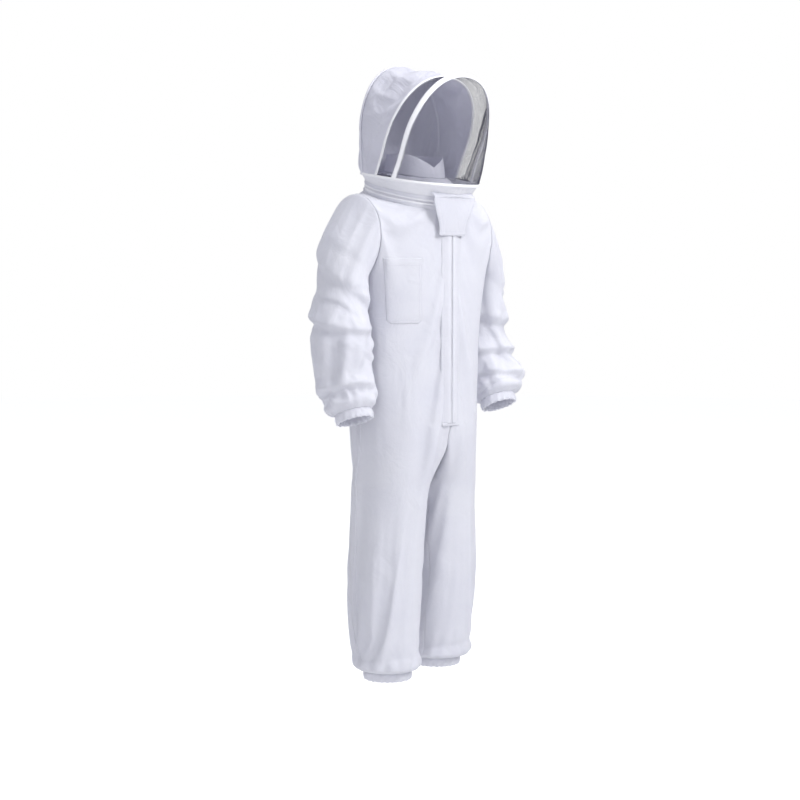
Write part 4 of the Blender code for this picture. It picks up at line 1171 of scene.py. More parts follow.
def welt(name, points, body_name, width=0.0085, height=0.0011, mat=None, stitched=True, closed=False, normals=None, lift=0.0):
    pts = resample(points, 0.006, closed)
    if normals is None:
        pts, nr = seam_path(pts, lift)
    else:
        nr = [normals(p) for p in pts]
    frames, side = [], None
    n = len(pts)
    for i in range(n):
        t = (pts[(i + 1) % n if closed else min(i + 1, n - 1)] - pts[i - 1 if closed else max(i - 1, 0)]).normalized()
        nn = (nr[i] - t * nr[i].dot(t)).normalized()
        frames.append((t.cross(nn), nn))
    w = width / 2
    prof = [(-w, -0.0010), (-w * 0.98, 0.35 * height), (-w * 0.72, height), (-w * 0.3, 0.72 * height), (0, 0.62 * height),
            (w * 0.3, 0.72 * height), (w * 0.72, height), (w * 0.98, 0.35 * height), (w, -0.0010)]
    ob = sweep(name, pts, frames, prof, mat or COTTON, closed)
    rides(ob, body_name, ())
    if stitched:
        lines = []
        for s in (-0.66, 0.66):
            lines.append(([p + fa * (w * s) + fb * (height * 0.95) for p, (fa, fb) in zip(pts, frames)], None, closed))
        look = {}
        fixed = []
        for line, _, cl in lines:
            fixed.append((line, nearest_normal(pts, frames), cl))
        stitches(fixed, name + "_stitching", body_name)
    return ob


def nearest_normal(pts, frames):
    arr = np.array([tuple(p) for p in pts])

    def get(p):
        k = int(np.argmin(((arr - np.array(tuple(p))) ** 2).sum(1)))
        return frames[k][1]
    return get


if True:
    for side, word in ((1, "left"), (-1, "right")):
        leg = [P(side * table(BODY, z)[0], 0.0, z) for z in np.linspace(1.245, 0.815, 48)]
        for z in np.linspace(0.790, 0.150, 60):
            x0, f0, ra, rb = table(LEGS[side], min(z, 0.72))
            mix = smooth((0.80 - z) / 0.13)
            leg.append(P(side * lerp(0.197, x0 + ra, mix), lerp(0.0, f0 - 0.2 * rb, mix), z))
        for _ in range(2):
            leg = [leg[0]] + [(a + b * 2 + c) / 4 for a, b, c in zip(leg, leg[1:], leg[2:])] + [leg[-1]]
        welt("side_seam_" + word, leg, "suit")
    # centre back seam, from the neck tab to the seat
    pts = []
    for z in np.linspace(1.500, 0.806, 110):
        hits = [BODY_TREE.ray_cast(Vector((x, 0.0, z - SHOULDER_Z)), Vector((0, 1, 0)))[0] for x in (-0.016, -0.012, 0.012, 0.016)]
        hits = [h for h in hits if h is not None]
        if hits:
            pts.append(Vector((0.0, max(h.y for h in hits) - 0.0004, z - SHOULDER_Z)))
    for _ in range(3):
        pts = [pts[0]] + [(a + b * 2 + c) / 4 for a, b, c in zip(pts, pts[1:], pts[2:])] + [pts[-1]]
    welt("centre_back_seam", pts, "suit", width=0.0095, normals=lambda p: Vector((0, 1, 0)))
    # tab sewn over the seam's top end, below the neck zip
    nu, nv = 26, 10
    verts, uvs, faces = [], [], []
    rows_ = []
    for j in range(nv + 1):
        h = lerp(-0.0020, -0.0380, j / nv)
        row = []
        for i in range(nu + 1):
            u = 2 * i / nu - 1
            row.append(on_body(neck(math.pi + 0.19 * u, h), 0.0))
        i0, i1 = int(nu * 0.24), nu - int(nu * 0.24)
        if h > -0.037:
            (pa, na_), (pb, nb_) = row[i0], row[i1]
            for i in range(i0 + 1, i1):
                t = (i - i0) / (i1 - i0)
                q = pa.lerp(pb, t) + Vector((0, 0.0012 * 4 * t * (1 - t), 0))
                row[i] = (q, na_.lerp(nb_, t).normalized())
        rows_.append(row)
    for layer in (0, 1):
        for j, row in enumerate(rows_):
            for i, (q, nn) in enumerate(row):
                u, v = 2 * i / nu - 1, j / nv
                edge = smooth(min((1 - abs(u)) * 14, v * 8 + 1, (1 - v) * 6))
                verts.append(q + nn * ((0.0008 + 0.0010 * edge) if layer else -0.0004))
                uvs.append((u * 0.028, v * 0.036))
    n = (nu + 1) * (nv + 1)
    for j in range(nv):
        for i in range(nu):
            q = [j * (nu + 1) + i, j * (nu + 1) + i + 1, (j + 1) * (nu + 1) + i + 1, (j + 1) * (nu + 1) + i]
            faces.append([k + n for k in q])
            faces.append(q[::-1])
    rim = [j * (nu + 1) for j in range(nv + 1)] + [nv * (nu + 1) + i for i in range(1, nu + 1)]
    rim += [j * (nu + 1) + nu for j in reversed(range(nv))] + [i for i in reversed(range(1, nu))]
    for a, b in zip(rim, rim[1:] + rim[:1]):
        faces.append([a, b, b + n, a + n])
    ob = mesh_object("neck_tab", verts, faces, COTTON, uvs=uvs)
    fix_normals(ob)
    rides(ob, "suit", ())
    line = [verts[n + j * (nu + 1) + 2] for j in range(nv - 1)] + [verts[n + (nv - 2) * (nu + 1) + i] for i in range(3, nu - 1)]
    line += [verts[n + j * (nu + 1) + nu - 2] for j in reversed(range(nv - 2))]
    stitches([([p + Vector((0, 0.0004, 0)) for p in line], Vector((0, 1, 0)), False)], "neck_tab_stitching", "suit")

# ------------------------------------------------------------------ front zip, with its welts
def box_mesh(name, lo, hi, mat, bevel=0.0):
    (x0, y0, z0), (x1, y1, z1) = lo, hi
    v = [(x, y, z) for z in (z0, z1) for y in (y0, y1) for x in (x0, x1)]
    f = [(0, 2, 3, 1), (4, 5, 7, 6), (0, 1, 5, 4), (2, 6, 7, 3), (0, 4, 6, 2), (1, 3, 7, 5)]
    ob = mesh_object(name, v, f, mat, smooth_shade=False, uvs=[(c[0] + c[1], c[2]) for c in v])
    if bevel:
        b = ob.modifiers.new("b", "BEVEL")
        b.width, b.segments = bevel, 2
        apply_all(ob)
    return ob


def teeth(name, places, size, mat, body_name, nodes):
    """places: (centre, along, across, out, hand). Each tooth is a rounded hook of the coil."""
    verts, faces = [], []
    la, lc, lo = size
    for c, ea, ec, eo, hand in places:
        off = len(verts)
        prof = [(-0.5, -0.5), (-0.5, 0.35), (-0.2, 0.5), (0.2, 0.5), (0.5, 0.35), (0.5, -0.5)]
        for s, grow in ((0.0, 0.72), (0.62, 0.86), (1.0, 1.0)):
            for a, o in prof:
                verts.append(c + ea * (a * la * grow) + eo * (o * lo * grow) + ec * (hand * lc * (1 - s)))
        m = len(prof)
        for j in (0, 1):
            for k in range(m):
                l = (k + 1) % m
                faces.append([off + j * m + k, off + j * m + l, off + (j + 1) * m + l, off + (j + 1) * m + k])
        faces.append([off + k for k in reversed(range(m))])
        faces.append([off + 2 * m + k for k in range(m)])
    ob = mesh_object(name, verts, faces, mat)
    fix_normals(ob)
    return rides(ob, body_name, nodes)


# teeth of both rows interlock across the centre line
pitch = 0.0029
count = int((ZIP_TOP - ZIP_BOTTOM) / pitch)
for side, word, shift in ((1, "left", 0.0), (-1, "right", 0.5)):
    places = []
    for k in range(count):
        z = ZIP_BOTTOM + (k + 0.5 + shift * 0.98) * pitch
        if z < ZIP_TOP - 0.001:
            places.append((P(side * 0.0004, FRONT_F - 0.0010, z), Vector((0, 0, 1)), Vector((1, 0, 0)), Vector((0, -1, 0)), side))
    places = [(c, ea, ec, eo, h) for c, ea, ec, eo, h in places]
    teeth("zip_teeth_" + word, places, (0.0017, 0.0030, 0.0018), COIL, "suit", ["front_zip_coil_" + word])
    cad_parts["front_zip_tape_" + word].data.materials.clear()
    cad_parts["front_zip_tape_" + word].data.materials.append(TAPE)
    # fly facing over the zip: a thin fold of cloth, sewn down outside, arched clear of the slider
    pts, nr = [], []
    for z in np.linspace(ZIP_BOTTOM - 0.006, ZIP_TOP - 0.001, 130):
        pk = math.exp(-((z - 1.12) / 0.20) ** 2)
        wob = (0.0010 * nz(z * 26, side * 3.0, 0, 31) + 0.0005 * nz(z * 80, side * 3.0, 0, 33)) * (0.5 + pk)
        pts.append(P(side * 0.0137 + 0.0002 * nz(z * 30, side, 0, 35), FRONT_F + wob, z))
    frames = [(Vector((side, 0, 0)), Vector((0, -1, 0)))] * len(pts)
    outer = [(0.0205, -0.0040), (0.0190, -0.0014), (0.0150, 0.0002), (0.0112, 0.0013), (0.0080, 0.0022), (0.0042, 0.0040), (0.0002, 0.0053), (-0.0060, 0.0057), (-0.0118, 0.0056), (-0.0130, 0.0050)]
    inner = [(-0.0126, 0.0046), (-0.0060, 0.0047), (0.0000, 0.0045), (0.0035, 0.0032), (0.0062, 0.0010), (0.0080, 0.0006), (0.0110, 0.0002), (0.0160, -0.0020)]
    ob = sweep("zip_facing_" + word, pts, frames, outer + inner, COTTON)
    rides(ob, "suit", ())
    st = []
    for off, dep in ((0.0112, 0.0015), (-0.0095, 0.0057)):
        st.append(([p + Vector((side * off, -dep, 0)) for p in pts], Vector((0, -1, 0)), False))
    stitches(st, "zip_facing_stitching_" + word, "suit")
# bar tack across the lower end of the two facings
pts = [P(x, FRONT_F + 0.0029 * smooth((0.0305 - abs(x)) / 0.012) - 0.0006, ZIP_BOTTOM - 0.0085 + 0.0005 * math.sin(90 * x)) for x in np.linspace(-0.0315, 0.0315, 41)]
ob = sweep("zip_base_tack", pts, [(Vector((0, 0, 1)), Vector((0, -1, 0)))] * len(pts), ellipse(0.0052, 0.0034, 14), COTTON)
rides(ob, "suit", ())
stitches([([p + Vector((0, -0.0033, dz)) for p in pts[3:-3]], Vector((0, -1, 0)), False) for dz in (-0.0016, 0.0016)], "zip_base_tack_stitching", "suit")
for n_ in ("front_zip_bottom_stop", "front_zip_slider", "front_zip_pull", "neck_slider_left", "neck_slider_right"):
    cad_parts[n_].data.materials.clear()
    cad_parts[n_].data.materials.append(METAL)


# ------------------------------------------------------------------ hems
def hem_ring(name, centre, ex, ey, ez, r, length, waves, amp, seed, body_name, nodes, ruffle=0.0):
    """An elasticated hem: a gathered casing, puckered along its stitching."""
    n = 168
    prof = [(0.0012, -0.0035), (0.0030, 0.000), (0.0042, 0.25), (0.0048, 0.5), (0.0040, 0.8), (0.0026, 0.97), (0.0010, 1.06),
            (-0.0014, 1.08), (-0.0036, 1.0), (-0.0044, 0.7), (-0.0046, 0.4), (-0.0042, 0.05), (-0.0032, -0.02)]
    verts, faces, uvs, m = [], [], [], len(prof)
    for i in range(n):
        a = 2 * math.pi * i / n
        ph = waves * a + 1.9 * nz(1.6 * math.cos(a), 1.6 * math.sin(a), 0, seed)
        am = amp * (0.65 + 0.7 * nz(2.4 * math.cos(a), 2.4 * math.sin(a), 1.0, seed + 1))
        c = math.cos(ph)
        d = ex * math.sin(a) + ey * math.cos(a)
        for k, (o, s) in enumerate(prof):
            s_m = s * length if k else -0.0035
            bulge = am * c * (0.6 + 0.4 * math.cos(2 * math.pi * (s - 0.5)))
            if ruffle:
                bulge += ruffle * smooth((s - 0.75) / 0.3) * math.cos(ph * 1.0 + 0.9)
            verts.append(centre + d * (r - 0.0020 + o * 0.8 + bulge) + ez * (s_m + 0.0007 * math.sin(ph * 1.5)))
            uvs.append((a * r * 1.7, k * 0.004))
    for i in range(n):
        j = (i + 1) % n
        for k in range(m):
            l = (k + 1) % m
            faces.append([i * m + k, i * m + l, j * m + l, j * m + k])
    ob = mesh_object(name, verts, faces, COTTON, uvs=uvs)
    fix_normals(ob)
    rides(ob, body_name, nodes)
    line = [verts[i * m + 2] * 0.5 + verts[i * m + 1] * 0.5 for i in range(n)]
    line2 = [verts[i * m + 4] * 0.5 + verts[i * m + 5] * 0.5 for i in range(n)]

    def out(p):
        q = p - centre
        return (q - ez * q.dot(ez)).normalized()
    stitches([(line, out, True), (line2, out, True)], name + "_stitching", body_name)


for side, word in ((1, "left"), (-1, "right")):
    z, x0, f0, _, _ = LEGS[side][-1]
    hem_ring("ankle_cuff_" + word, P(side * x0, f0, z - 0.0005), Vector((1, 0, 0)), Vector((0, -1, 0)), Vector((0, 0, -1)),
             ANKLE_R, CUFF_LEN, 19, 0.0017, 41 + side, "suit", ["ankle_hem_" + word, "ankle_elastic_" + word], 0.0012)
    z, x0, f0, ra, rb, tilt = SLEEVES[side][-1]
    t = math.radians(tilt)
    down = Vector((0, -math.sin(t), -math.cos(t)))
    hem_ring("wrist_cuff_" + word, P(side * x0, f0, z) + down * 0.0004, Vector((1, 0, 0)), Vector((0, -math.cos(t), math.sin(t))), down,
             WRIST_R, CUFF_LEN, 16, 0.0019, 51 + side, word + "_sleeve", ["wrist_hem_" + word, "wrist_elastic_" + word], 0.0026)


# ------------------------------------------------------------------ chest pocket
def pocket():
    nu, nv = 34, 52
    (a0, a1), (z0, z1) = POCKET_ANGLE, POCKET_Z
    verts, uvs, top = [], [], []
    for layer in (0, 1):
        for j in range(nv + 1):
            for i in range(nu + 1):
                u, v = i / nu, j / nv
                # lower corners are cut off a little, as on a work pocket
                zz = lerp(z0, z1, v)
                cut = 0.010 * max(0.0, 1 - v * 14) * (max(0.0, 1 - u * 8) + max(0.0, 1 - (1 - u) * 8))
                ang = math.radians(lerp(a0, a1, u))
                d = Vector((math.sin(ang), -math.cos(ang), 0))
                hit, nrm, _, _ = BODY_TREE.ray_cast(P(0, 0, zz + cut), d)
                if nrm.dot(d) < 0:
                    nrm = -nrm
                edge = min(u, 1 - u) * nu / 2.2
                edge = min(edge, v * nv / 2.6)
                lift = 0.0006 + 0.0006 * smooth(edge)
                lift += (0.0009 * smooth((v - 0.80) / 0.2) + 0.0006 * nz(u * 4, v * 5, 0, 61)) * smooth(edge)
                if v > 0.90:
                    lift += 0.0005          # turned-down hem at the mouth
                verts.append(hit + nrm * (lift if layer else -0.0004))
                uvs.append((u * 0.11, v * 0.18))
    faces = []
    n = (nu + 1) * (nv + 1)
    for j in range(nv):
        for i in range(nu):
            q = [j * (nu + 1) + i, j * (nu + 1) + i + 1, (j + 1) * (nu + 1) + i + 1, (j + 1) * (nu + 1) + i]
            faces.append([k + n for k in q])
            faces.append(q[::-1])
    rim = [j * (nu + 1) for j in range(nv + 1)] + [nv * (nu + 1) + i for i in range(1, nu + 1)]
    rim += [j * (nu + 1) + nu for j in reversed(range(nv))] + [i for i in reversed(range(1, nu))]
    for a, b in zip(rim, rim[1:] + rim[:1]):
        faces.append([a, b, b + n, a + n])
    ob = mesh_object("chest_pocket_patch", verts, faces, COTTON, uvs=uvs)
    fix_normals(ob)
    rides(ob, "suit", ["chest_pocket"])

    def at(i, j):
        return verts[n + j * (nu + 1) + i]
    lines = []
    for k in (1, 3):
        lines.append([at(k, j) for j in reversed(range(k, nv + 1))] + [at(i, k) for i in range(k + 1, nu - k + 1)] + [at(nu - k, j) for j in range(k + 1, nv + 1)])
    lines.append([at(i, int(nv * 0.9)) for i in range(nu + 1)])

    def out(p):
        return Vector((p.x, p.y, 0)).normalized()
    stitches([([p + out(p) * 0.0003 for p in ln], out, False) for ln in lines], "pocket_stitching", "suit")


pocket()


# ------------------------------------------------------------------ neck: zip, welts, yoke, collar
def ring_pts(h, r=NECK_R, n=220):
    return [neck(2 * math.pi * k / n, h, r) for k in range(n)]


def ring_frames(n=220):
    return [((EX * math.sin(2 * math.pi * k / n) + EF * math.cos(2 * math.pi * k / n)), EN) for k in range(n)]


for node_, mat_ in (("neck_zip_tape_suit", TAPE), ("neck_zip_tape_hood", TAPE)):
    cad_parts[node_].data.materials.clear()
    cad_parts[node_].data.materials.append(mat_)
ncount = int(2 * math.pi * NECK_R / pitch)
for body_name, nd, hand, shift in (("suit", "neck_zip_coil_suit", -1, 0.0), ("hood", "neck_zip_coil_hood", 1, 0.5)):
    places = []
    for k in range(ncount):
        a = 2 * math.pi * (k + shift) / ncount
        d = EX * math.sin(a) + EF * math.cos(a)
        places.append((neck(a, hand * 0.0005), EX * math.cos(a) - EF * math.sin(a), EN, d, hand))
    teeth("neck_zip_teeth_" + body_name, places, (0.0017, 0.0026, 0.0017), COIL, body_name, [nd])

# welts: the turned edges of suit and hood either side of the neck zip
for body_name, s in (("suit", -1), ("hood", 1)):
    n = 220
    pts = []
    for k in range(n):
        a = 2 * math.pi * k / n
        pts.append(neck(a, s * (0.0125 + 0.0004 * math.sin(9 * a)), NECK_R + 0.0008 + 0.0006 * nz(3 * math.cos(a), 3 * math.sin(a), s, 71)))
    ob = sweep("neck_welt_" + body_name, pts, ring_frames(n), [(0.0012 * math.cos(w) + 0.0006, s * 0.0055 * math.sin(w)) for w in [2 * math.pi * k / 12 for k in range(12)]], COTTON, closed=True)
    rides(ob, body_name, ())
    line = [p + (EX * math.sin(2 * math.pi * k / n) + EF * math.cos(2 * math.pi * k / n)) * 0.0018 - EN * s * 0.0022 for k, p in enumerate(pts)]

    def radial(p):
        q = p - NECK_C
        return (q - EN * q.dot(EN)).normalized()
    stitches([(line, radial, True)], "neck_welt_stitching_" + body_name, body_name)

COLLAR_F = 0.004


def collar_point(angle, r, z):
    return P(r * math.sin(angle), COLLAR_F + 1.04 * r * math.cos(angle), z)


def collar_top(a):
    a = abs((a + math.pi) % (2 * math.pi) - math.pi)
    return 1.566 + 0.034 * min(1.0, a / 0.9) ** 0.8 + 0.010 * (1 - math.cos(a)) / 2


def tube_surface(name, rows, mat, body_name, nodes, thick, wrinkle=0.0, seed=0):
    sk = Skin()
    sk.grid(rows, "a", P(0, 0, 1.35) if wrinkle else P(0, 0, 1.58), closed=True)
    ob = sk.object(name + "_src")
    if wrinkle:
        me = ob.data
        for v in me.vertices:
            a = math.atan2(v.co.x, -v.co.y)
            k = nz(2.4 * math.cos(a), 2.4 * math.sin(a), v.co.z * 30, seed) + 0.5 * nz(5 * math.cos(a), 5 * math.sin(a), v.co.z * 60, seed + 2)
            v.co += Vector((0, 0, 1)) * wrinkle * k
    ob2 = panel(name, ob, {"a"}, sk.tag, mat, body_name, nodes, thick)
    bpy.data.objects.remove(ob, do_unlink=True)
    return ob2


NY = 72
rows = []
for j in range(13):
    t = j / 12
    row = []
    for i in range(NY):
        a = 2 * math.pi * i / NY
        p = neck(a, -0.010, NECK_R - 0.0045)
        q = collar_point(a, 0.0862, 1.552 - 0.016 * math.cos(a))
        s = p.lerp(q, t)
        s.z += 0.010 * math.sin(math.pi * t)
        row.append(s)
    rows.append(row)
tube_surface("yoke_lining", rows, LINING, "suit", ["inner_yoke"], 0.0010, 0.0028, 81)
rows = []
for j in range(9):
    t = j / 8
    rows.append([collar_point(2 * math.pi * i / NY, 0.086 - 0.007 * t, lerp(1.5525 - 0.016 * math.cos(2 * math.pi * i / NY), collar_top(2 * math.pi * i / NY), t)) for i in range(NY)])
tube_surface("collar_stand", rows, LINING, "suit", ["stand_collar"], 0.0018)


# ------------------------------------------------------------------ hood
def band_edge(angle):
    c, s = math.cos(angle), math.sin(angle)
    n = 2.1 if c >= 0 else 3.0
    x = BAND_W * spow(s, 2 / n)
    f = BAND_F0 + (BAND_FRONT if c >= 0 else BAND_BACK) * spow(c, 2 / n)
    return P(x, f, 1.538 - 0.027 * (f - BAND_F0) / BAND_FRONT)


def band_angle(f):
    lo, hi = 0.0, math.pi
    for _ in range(50):
        m = (lo + hi) / 2
        if -band_edge(m).y > f:
            lo = m
        else:
            hi = m
    return (lo + hi) / 2


NH = 30


def arch(base_f, top_f, top_z, width, nh=NH):
    base = band_edge(band_angle(base_f))
    bx, bf, bz = base.x, -base.y, base.z + SHOULDER_Z
    pts = [(x * width, y) for x, y in ARCH] + [(bx, 0.0)]
    pts = [(-pts[1][0], pts[1][1])] + pts
    pts.append((2 * pts[-1][0] - pts[-2][0], 2 * pts[-1][1] - pts[-2][1]))
    fine = []
    for k in range(1, len(pts) - 2):
        for m in range(12):
            t = m / 12
            fine.append([0.5 * (2 * b + (c - a) * t + (2 * a - 5 * b + 4 * c - d) * t * t + (3 * b - a - 3 * c + d) * t ** 3)
                         for a, b, c, d in zip(*pts[k - 1:k + 3])])
    fine.append(list(pts[-2]))
    fine = [Vector((x, lerp(bf, top_f, y), lerp(bz, top_z, y))) for x, y in fine]
    run = [0.0]
    for a, b in zip(fine, fine[1:]):
        run.append(run[-1] + (b - a).length)
    half = []
    for k in range(nh + 1):
        want = run[-1] * k / nh
        j = min(max(i for i in range(len(run)) if run[i] <= want + 1e-9), len(fine) - 2)
        t = (want - run[j]) / (run[j + 1] - run[j])
        half.append(fine[j].lerp(fine[j + 1], t))
    left = [P(*p) for p in half]
    right = [P(-p.x, p.y, p.z) for p in half[1:]]
    return right[::-1] + left


def shifted(name, shift, nh=NH):
    b, tf, tz, wd = HOOPS[name]
    return arch(b + shift, tf + shift, tz, wd, nh)


def blend_rows(first, last, ts, end0, end1, bulge):
    rows = []
    for t in ts:
        n = len(first) - 1
        row = []
        for k in range(n + 1):
            s = abs(2 * k / n - 1)
            p = first[k].lerp(last[k], t)
            out = Vector((p.x * 0.6, p.y + BAND_F0, 0))
            out = out.normalized() if out.length > 1e-9 else out
            row.append(p + out * bulge * math.sin(math.pi * t) * (1 - s ** 4))
        e = band_edge(lerp(end0, end1, t))
        w = [abs(2 * k / n - 1) for k in range(n + 1)]
        dl, dr = e - row[-1], Vector((-e.x, e.y, e.z)) - row[0]
        rows.append([p + (dl if k > n / 2 else dr) * w[k] ** 3 for k, p in enumerate(row)])
    return rows


HEAD = P(0, 0.05, 1.66)
CLEAR = 0.0045
aB, aC = band_angle(HOOPS["front"][0] + CLEAR), band_angle(HOOPS["rear"][0] - CLEAR)
front_end, rear_end = 0.62 * aB, aC + 0.42 * (math.pi - aC)


def hood_rows(nh, n_back, n_crown, n_side, n_front):
    m = 2 * nh
    back0 = [band_edge(lerp(rear_end, 2 * math.pi - rear_end, k / m)) for k in range(m + 1)][::-1]
    front0 = [band_edge(lerp(-front_end, front_end, k / m)) for k in range(m + 1)]
    c_low, c_high = shifted("rear", -CLEAR, nh), shifted("rear", CLEAR, nh)
    a_low, a_high = shifted("middle", -CLEAR, nh), shifted("middle", CLEAR, nh)
    b_low, b_high = shifted("front", -CLEAR, nh), shifted("front", CLEAR, nh)
    back = blend_rows(back0, c_low, [k / n_back for k in range(n_back + 1)], rear_end, aC, 0.012)

    def strip(a, b, n, f0, f1, puff):
        rows = []
        for j in range(n + 1):
            t = j / n
            row = [p.lerp(q, t) + (p.lerp(q, t) - HEAD).normalized() * puff * math.sin(math.pi * t) for p, q in zip(a, b)]
            e = band_edge(band_angle(lerp(f0, f1, t)))
            row[-1], row[0] = e, Vector((-e.x, e.y, e.z))
            rows.append(row)
        return rows
    crown = strip(c_high, a_low, n_crown, HOOPS["rear"][0] + CLEAR, HOOPS["middle"][0] - CLEAR, 0.004)
    side = strip(a_high, b_low, n_side, HOOPS["middle"][0] + CLEAR, HOOPS["front"][0] - CLEAR, 0.0)
    front = blend_rows(b_high, front0, [k / n_front for k in range(n_front + 1)], aB, front_end, 0.010)
    return back, crown, side, front


back, crown, side_, front_ = hood_rows(NH, 26, 20, 8, 26)
for rows_, tag_ in ((crown, 0), (back, 1)):
    for j, row in enumerate(rows_):
        for k, p in enumerate(row):
            v, u = j / (len(rows_) - 1), 2 * k / (len(row) - 1) - 1
            inner_ = smooth(v / 0.25) * smooth((1 - v) / 0.25) * smooth((1 - abs(u)) / 0.12)
            if tag_ == 0:
                # slack between the hoops runs from the rear hoop down to the front of the side panel
                h = 0.0042 * crease(9.0 * v + 7.0 * abs(u) + 2.5 * nz(u * 2.5, v * 1.6, 0, 121)) + 0.0040 * nz(u * 5, v * 3, 0, 123)
            else:
                h = 0.0036 * math.sin(11 * u + 2.0 * nz(u * 2, v * 2, 0, 125)) + 0.0040 * nz(u * 4, v * 3, 0, 127)
            row[k] = p + (p - HEAD).normalized() * h * inner_
hood = Skin()
hi_b = hood.grid(back, "back", HEAD)
hi_c = hood.grid(crown, "crown", HEAD)
hood_ob = hood.object("hood_cloth")
pins = {}
for idx, tagname in ((hi_b, "back"), (hi_c, "crown")):
    for j, r in enumerate(idx):
        for k, i in enumerate(r):
            edge = j in (0, len(idx) - 1) or k in (0, len(r) - 1)
            pins[i] = 1.0 if edge else 0.0
group(hood_ob, "pin", pins)
simulate({hood_ob: dict(gravity=0.5, stiff=22, bend=0.5, shear=8, shrink=-0.026, cap=0.007, drift=0.004, quality=5)}, [], 30)
panel("hood_back_cloth", hood_ob, {"back"}, hood.tag, HOOD_CLOTH, "hood", ["hood_back_panel"], 0.0011)
panel("hood_crown_cloth", hood_ob, {"crown"}, hood.tag, HOOD_CLOTH, "hood", ["hood_crown_panel"], 0.0011)

# lower band: joins the hood's edge to the zip
rows = []
NB = 120
for j in range(11):
    t = j / 10
    row = []
    for i in range(NB):
        a = 2 * math.pi * i / NB
        q = band_edge(a) - Vector((0, 0, 0.0008))
        plan = math.atan2(q.x, -(q.y) - NECK_F)
        p = neck(plan, TAPE_H + 0.0001)
        s = p.lerp(q, t ** 1.3)
        s.z = lerp(p.z, q.z, t)
        d = Vector((s.x, s.y, 0)).normalized()
        wr = 0.0022 * nz(2.2 * math.cos(plan), 2.2 * math.sin(plan), t * 1.2, 91) + 0.0012 * math.sin(9 * plan + 5 * t + 2 * nz(plan, t, 0, 93))
        s = s + d * wr * math.sin(math.pi * t)
        row.append(s)
    rows.append(row)
bd = Skin()
bd.grid(rows, "band", P(0, 0.02, 1.50), closed=True)
bo = bd.object("band_src")
# the band wears the cotton painted lighter, against the shade it lies in
panel("hood_band_cloth", bo, {"band"}, bd.tag, BAND_COTTON_PAINTED_LIGHTER, "hood", ["hood_lower_band"], 0.0014)
bpy.data.objects.remove(bo, do_unlink=True)
# binding along the band's top edge, which the veil and hood are sewn into
n = 200
pts = [band_edge(2 * math.pi * k / n) for k in range(n)]
frames = []
for k in range(n):
    t = (pts[(k + 1) % n] - pts[k - 1]).normalized()
    up = Vector((0, 0, 1))
    up = (up - t * up.dot(t)).normalized()
    frames.append((t.cross(up), up))
ob = sweep("band_binding", pts, frames, [(0.0019 * math.cos(w), 0.0042 * math.sin(w) - 0.0005) for w in [2 * math.pi * k / 12 for k in range(12)]], BINDING, closed=True)
rides(ob, "hood", ())


def nearest_dir(centre):
    def get(p):
        q = p - centre
        return Vector((q.x, q.y, 0)).normalized()
    return get


stitches([([p + Vector((p.x, p.y, 0)).normalized() * 0.0019 - Vector((0, 0, 0.0028)) for p in pts], nearest_dir(Vector((0, 0, 0))), True)], "band_binding_stitching", "hood")

# hoops: flat sprung bands in sewn casings
for name_, wide, thick, mat_ in (("rear", 0.0100, 0.0058, COTTON), ("middle", 0.0086, 0.0058, BINDING), ("front", 0.0155, 0.0068, BINDING)):
    line = resample(shifted(name_, 0.0), 0.006)
    a_, b_ = shifted(name_, -0.004), shifted(name_, 0.004)
    frames = []
    for i, p in enumerate(line):
        t = (line[min(i + 1, len(line) - 1)] - line[max(i - 1, 0)]).normalized()
        out = (p - HEAD)
        out = (out - t * out.dot(t)).normalized()
        frames.append((t.cross(out), out))
    prof = []
    for k in range(16):
        w = 2 * math.pi * k / 16
        prof.append((0.5 * wide * spow(math.cos(w), 0.75), 0.5 * thick * spow(math.sin(w), 0.85)))
    n = len(line)
    verts, faces, uvs = [], [], []
    s = 0.0
    for i, p in enumerate(line):
        if i:
            s += (line[i] - line[i - 1]).length
        ea, eb = frames[i]
        pk = 1 + 0.05 * nz(s * 90, 0, 0, 95) + 0.03 * nz(s * 300, 0, 0, 97)
        for k, (u, v) in enumerate(prof):
            verts.append(p + ea * u * pk + eb * v * pk)
            uvs.append((k * 0.0018, s))
    for i in range(n - 1):
        for k in range(16):
            l = (k + 1) % 16
            faces.append([i * 16 + k, i * 16 + l, (i + 1) * 16 + l, (i + 1) * 16 + k])
    faces.append(list(reversed(range(16))))
    faces.append([(n - 1) * 16 + k for k in range(16)])
    ob = mesh_object(name_ + "_hoop_band", verts, faces, mat_, uvs=uvs)
    fix_normals(ob)
    rides(ob, "hood", [name_ + "_hoop_casing", name_ + "_hoop_spring"])
    nn = nearest_normal(line, frames)
    stitches([([p + f[0] * (wide * 0.5 - 0.0022) * s_ + f[1] * (thick * 0.5 + 0.0001) for p, f in zip(line, frames)], nn, False) for s_ in (-1, 1)],
             name_ + "_hoop_stitching", "hood")


